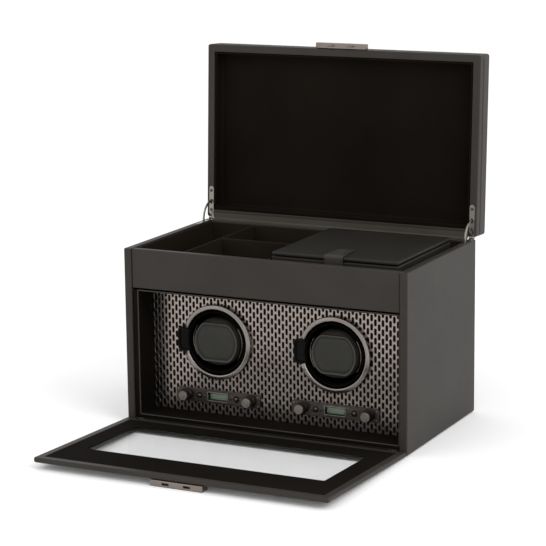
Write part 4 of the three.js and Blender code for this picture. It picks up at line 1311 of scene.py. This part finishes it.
def leafShell(x, y0, y1, z0, z1):
    # a thin plate with round corners and eased edges
    outline = (x - hinge["half"], x + hinge["half"], y0, y1, hinge["corner"])
    rows = np.concatenate([roundEdge(outline, 0.3, z0 + 0.3, 0.3, -90, 0, 2),
                           roundEdge(outline, 0.3, z1 - 0.3, 0.3, 0, 90, 2)])
    return rectangleShell(rows, steps=6)


def knuckleShell(x0, x1):
    # a barrel about the pin, its ends chamfered
    r = hinge["knuckle"]
    profile = [(0, x0), (r - 0.4, x0), (r, x0 + 0.4), (r, x1 - 0.4), (r - 0.4, x1), (0, x1)]
    return latheShell(profile, (0, lidPivot[1], lidPivot[2]), "x", 32)


def countersinks(x, y0, y1, z0, z1):
    # two shallow round recesses for the screw heads of a leaf
    places = (y0 + hinge["screwIn"], y1 - hinge["screwIn"])
    r = hinge["screwRadius"] + 0.2
    return [latheShell([(0, z0), (r, z0), (r, z1), (0, z1)], (x, y, 0), "z", 28) for y in places]


def flushScrewShell(centre, front):
    # a flat head with a round socket, turned about Z and sunk in its recess
    r = hinge["screwRadius"]
    profile = [(0.0, -0.25 * front), (0.75, -0.25 * front), (0.75, -0.05 * front), (0.9, 0.0), (r - 0.15, 0.0),
               (r, -0.12 * front), (r, -0.35 * front), (0.0, -0.35 * front)]
    return latheShell(profile, centre, "z", 24)


def makeHinges():
    h = hinge
    slotY = (lidPivot[1] - h["slotFrom"], lidPivot[1] - h["slotTo"])
    for name, side in (("left", -1), ("right", 1)):
        x = side * boards["hingeX"]
        low, _ = boxOf(f"{name}_body_hinge_leaf")
        y0, y1 = low[1], low[1] + h["length"]
        screwY = (y0 + h["screwIn"], y1 - h["screwIn"])
        slotX = (x - h["slotHalf"], x + h["slotHalf"])
        top = h["bodyTop"]
        under = top - h["thickness"]
        slot = slabShell((slotX[0], slotY[0], top - 3), (slotX[1], slotY[1], top + 2), 0.5, corner=1.3)
        tongue = slabShell((x - 3.1, y1 - 4, under), (x - 0.3, lidPivot[1], top), 0.2)
        makePiece(f"{name}_body_leaf", leafShell(x, y0, y1, under, top), "cabinet", finishes["steel"],
                  [f"{name}_body_hinge_leaf"],
                  cuts=[slot, *countersinks(x, y0, y1, top - 0.45, top + 0.5)])
        pin = latheShell([(0, x - 3.3), (0.9, x - 3.3), (0.9, x + 3.3), (0, x + 3.3)],
                         (0, lidPivot[1], lidPivot[2]), "x", 20)
        makePiece(f"{name}_body_knuckle", joinShells(knuckleShell(x - 3.1, x - 0.3), tongue, pin), "cabinet",
                  finishes["steel"])
        screws = [flushScrewShell((x, y, top - 0.07), 1) for y in screwY]
        makePiece(f"{name}_body_leaf_screws", joinShells(*screws), "cabinet", finishes["screwHead"])
        bottom = h["lidBottom"]
        over = bottom + h["thickness"]
        slot = slabShell((slotX[0], slotY[0], bottom - 3), (slotX[1], slotY[1], bottom + 3), 0.5, corner=1.3)
        makePiece(f"{name}_lid_leaf", leafShell(x, y0, y1, bottom, over), "lid", finishes["steel"],
                  [f"{name}_lid_hinge_leaf"], swing=lidSwing,
                  cuts=[slot, *countersinks(x, y0, y1, bottom - 0.5, bottom + 0.45)])
        tongue = slabShell((x + 0.3, y1 - 4, bottom), (x + 3.1, lidPivot[1], over), 0.2)
        makePiece(f"{name}_lid_knuckle", joinShells(knuckleShell(x + 0.1, x + 3.1), tongue), "lid",
                  finishes["steel"], swing=lidSwing)
        screws = [flushScrewShell((x, y, bottom + 0.07), -1) for y in screwY]
        makePiece(f"{name}_lid_leaf_screws", joinShells(*screws), "lid", finishes["screwHead"],
                  swing=lidSwing)
        a = np.radians(np.linspace(*h["staySweep"], 42))
        r = h["stayRadius"]
        path = np.stack([np.full(42, x), lidPivot[1] + r * np.cos(a), lidPivot[2] + r * np.sin(a)], -1)
        stay = carryShell(path, roundedOutline(2.6, 1.8, 0.5, 3), (1, 0, 0))
        makePiece(f"{name}_stay", stay, "stays", finishes["steel"], [f"{name}_stay_arm"])


def makeHingeFold():
    # a thin leather strip over the joint: along the back board's top edge, through a fold, up the lid's rim
    path = np.array([(92.6, 201.14), (95.0, 201.14), (97.2, 201.16), (98.5, 201.4), (99.2, 202.0), (99.42, 202.9),
                     (99.46, 204.2), (99.55, 206.5), (99.66, 208.6)])
    path = np.stack([np.zeros(len(path)), path[:, 0], path[:, 1]], -1)
    half, thin = hinge["foldHalf"], hinge["foldThickness"] / 2
    strip = carryShell(path, [(-thin, -half), (thin, -half), (thin, half), (-thin, half)], (1, 0, 0))
    # its leather is made lighter as painted light
    piece = makePiece("hinge_fold", strip, None, finishes["litFoldLeather"], sharp=60)
    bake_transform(piece)


makeHinges()
makeHingeFold()
print("hinges pinned")


travel = {"edge": 1.4, "wall": 4.0, "seamInset": 2.6, "seamPitch": 3.0, "strapHalf": 11.0, "tabHalf": 9.0}


def makeTravelCase():
    # tray, its lining and the lid, each as rows of rectangles, with a seam round the lid
    t = travel
    low, high = boxOf("travel_case_tray")
    outer = (low[0], high[0], low[1], high[1], 3.0)
    w = t["wall"]
    inner = (low[0] + w, high[0] - w, low[1] + w, high[1] - w, 2.0)
    e = t["edge"]
    rows = np.concatenate([
        roundEdge(outer, e, low[2] + e, e, -90, 0),
        roundEdge(outer, e, high[2] - e, e, 0, 90),
        roundEdge(inner, -1.0, high[2] - 1.0, 1.0, 90, 180),
        roundEdge(inner, 3.0, low[2] + 4 + 3.0, 3.0, 0, -90, 6),
    ])
    makePiece("case_tray", rectangleShell(rows), "travel_case", finishes["caseLeather"],
              ["travel_case_tray"])
    lining = (inner[0] + 0.1, inner[1] - 0.1, inner[2] + 0.1, inner[3] - 0.1, 2.0)
    thin = (lining[0] + 1.2, lining[1] - 1.2, lining[2] + 1.2, lining[3] - 1.2, 2.0)
    rows = np.concatenate([
        roundEdge(lining, 2.6, low[2] + 6.8, 2.6, -90, 0),
        roundEdge(lining, 0.5, high[2] - 2.6, 0.5, 0, 90, 3),
        roundEdge(thin, -0.5, high[2] - 2.6, 0.5, 90, 180, 3),
        roundEdge(thin, 2.4, low[2] + 5.4 + 2.4, 2.4, 0, -90, 5),
    ])
    makePiece("case_lining", rectangleShell(rows), "travel_case", finishes["suede"])
    lidLow, lidHigh = boxOf("travel_case_lid")
    makePiece("case_lid", slabShell(lidLow, lidHigh, 1.5, corner=3.0), "travel_case_lid_body",
              finishes["caseLeather"], ["travel_case_lid"])
    inset = t["seamInset"]
    width, depth = lidHigh[0] - lidLow[0] - 2 * inset, lidHigh[1] - lidLow[1] - 2 * inset
    path = roundedOutline(width, depth, 2.0, 4) + (lidLow[:2] + lidHigh[:2]) / 2
    path = np.stack([path[:, 0], path[:, 1], np.full(len(path), lidHigh[2])], -1)
    seam = copiesOf(threadShell(2.1, 0.28), seamMatrices(path, (0, 0, 1), t["seamPitch"], 0.02, closed=True))
    makePiece("case_lid_seam", seam, "travel_case_lid_body", finishes["thread"], tidy=False,
              weighted=False)
    makeStrap()


def strapBand(path, half, thick):
    # a flat band with softened edges carried along a path
    section = np.array([(-thick, -half + 0.7), (-thick / 2, -half), (thick / 2, -half), (thick, -half + 0.7),
                        (thick, half - 0.7), (thick / 2, half), (-thick / 2, half), (-thick, half - 0.7)])
    return carryShell(path, section, (1, 0, 0))


def makeStrap():
    # a keeper loop up the front and over the edge, and a narrower closing tab lying on the top
    t = travel
    low, high = boxOf("travel_case_strap")
    x = (low[0] + high[0]) / 2
    y, top = low[1] + 1.0, high[2] - 1.4
    bend, loopEnd = 2.4, low[1] + 15.5
    a = np.radians(np.linspace(180, 90, 8))
    path = np.concatenate([
        [[x, y, low[2] + 0.2], [x, y, low[2] + 2], [x, y, top - bend - 3]],
        np.stack([np.full(8, x), y + bend + bend * np.cos(a), top - bend + bend * np.sin(a)], -1),
        [[x, y + 8, top], [x, loopEnd - 1, top], [x, loopEnd, top]],
    ])
    half, tabHalf = t["strapHalf"], t["tabHalf"]
    makePiece("case_strap", strapBand(path, half, 1.0), "travel_case_lid_body", finishes["strapLeather"],
              ["travel_case_strap"], sharp=50)
    tabStart, tabEnd, tabTop = y + 7, high[1], high[2] - 0.5
    tab = (x - tabHalf, x + tabHalf, tabStart, tabEnd, 2.2)
    rows = np.concatenate([roundEdge(tab, 0.5, top - 0.4, 0.5, -90, 0, 2),
                           roundEdge(tab, 0.5, tabTop, 0.5, 0, 90, 3)])
    makePiece("case_tab", rectangleShell(rows), "travel_case_lid_body", finishes["strapLeather"],
              ["travel_case_strap"])
    snap = latheShell([(0, tabTop + 0.2), (4.6, tabTop + 0.2), (4.6, tabTop + 0.62), (4.1, tabTop + 0.85),
                       (0, tabTop + 0.9)], (x, tabEnd - 8, 0), "z", 40)
    makePiece("case_snap", snap, "travel_case_lid_body", finishes["strapLeather"])
    stitch = threadShell(1.9, 0.34)
    shells = []
    for side in (-1, 1):
        outerX, topX = x + side * (half - 2), x + side * (half - 1.2)
        upright = [(outerX, y - 1.0, low[2] + 1), (outerX, y - 1.0, top - 2.4)]
        flat = [(topX, y + 2.6, top + 1.0), (topX, loopEnd - 1, top + 1.0)]
        shells.append(copiesOf(stitch, seamMatrices(upright, (0, -1, 0), 2.8)))
        shells.append(copiesOf(stitch, seamMatrices(flat, (0, 0, 1), 2.8)))
    border = roundedOutline(2 * tabHalf - 3, tabEnd - tabStart - 3, 1.6, 4)
    border = np.stack([x + border[:, 0], (tabStart + tabEnd) / 2 + border[:, 1],
                       np.full(len(border), tabTop + 0.5)], -1)
    shells.append(copiesOf(stitch, seamMatrices(border, (0, 0, 1), 2.6, closed=True)))
    makePiece("case_strap_seam", joinShells(*shells), "travel_case_lid_body", finishes["thread"],
              tidy=False, weighted=False)


makeTravelCase()
print("travel case placed")


def makeJack():
    # a round power inlet in the back board: a turned barrel and its pin
    low, high = boxOf("power_jack")
    x, z = (low[0] + high[0]) / 2, (low[2] + high[2]) / 2
    end = high[1]
    barrel = latheShell([(0, low[1]), (5.4, low[1]), (5.4, end - 1.5), (7.6, end - 1.5), (8, end - 1.1),
                         (8, end - 0.4), (7.6, end), (4.2, end), (3.4, end - 0.6), (3.1, end - 1.2),
                         (3.1, end - 9.6), (0, end - 9.6)], (x, 0, z), steps=48)
    makePiece("jack_barrel", barrel, "cabinet", finishes["plastic"], ["power_jack"])
    pin = latheShell([(0, end - 10), (1.05, end - 10), (1.05, end - 2.2), (0.7, end - 1.8), (0, end - 1.7)],
                     (x, 0, z), steps=24)
    makePiece("jack_pin", pin, "cabinet", finishes["steel"])


makeJack()
print("power inlet fitted")


studio = {"floor": 40.0, "sky": 1.0, "key": 26.0, "fill": 5.0, "floorGlow": 0.06}


def makeStudio():
    # white surroundings, a pale paper floor and two soft lamps
    scene = bpy.context.scene
    scene.view_settings.view_transform = "Standard"
    world = bpy.data.worlds.new("studio")
    world.use_nodes = True
    world.node_tree.nodes["Background"].inputs["Color"].default_value = (1, 1, 1, 1)
    world.node_tree.nodes["Background"].inputs["Strength"].default_value = studio["sky"]
    scene.world = world
    reach = studio["floor"] / 2
    mesh = bpy.data.meshes.new("floor")
    mesh.from_pydata([(-reach, -reach, 0), (reach, -reach, 0), (reach, reach, 0), (-reach, reach, 0)], [],
                     [(0, 1, 2, 3)])
    floor = bpy.data.objects.new("floor", mesh)
    scene.collection.objects.link(floor)
    made, shader = newFinish("floor paper", Specular_IOR_Level=0.1, Emission_Color=(1, 1, 1, 1),
                             Emission_Strength=studio["floorGlow"])
    tone = addNode(made, "ShaderNodeTexNoise", {"Vector": placeNode(made)}, Scale=3, Detail=2)
    connect(made, rampNode(made, tone.outputs["Fac"], [(0.3, (0.95, 0.95, 0.95)), (0.7, (0.97, 0.97, 0.97))]),
            shader, "Base Color")
    connect(made, rangeNode(made, tone.outputs["Fac"], 0.8, 0.9), shader, "Roughness")
    mesh.materials.append(made)
    for name, place, size, power in (
        ("key", (2.2, -1.0, 1.9), 1.6, studio["key"]),
        ("fill", (-1.6, -1.8, 1.4), 1.8, studio["fill"]),
    ):
        data = bpy.data.lights.new(name, "AREA")
        data.size, data.energy = size, power
        lamp = bpy.data.objects.new(name, data)
        scene.collection.objects.link(lamp)
        lamp.location = place
        lamp.rotation_mode = "QUATERNION"
        lamp.rotation_quaternion = (Vector((0, 0, 0.15)) - Vector(place)).to_track_quat("-Z", "Y")


makeStudio()
print("studio lit")
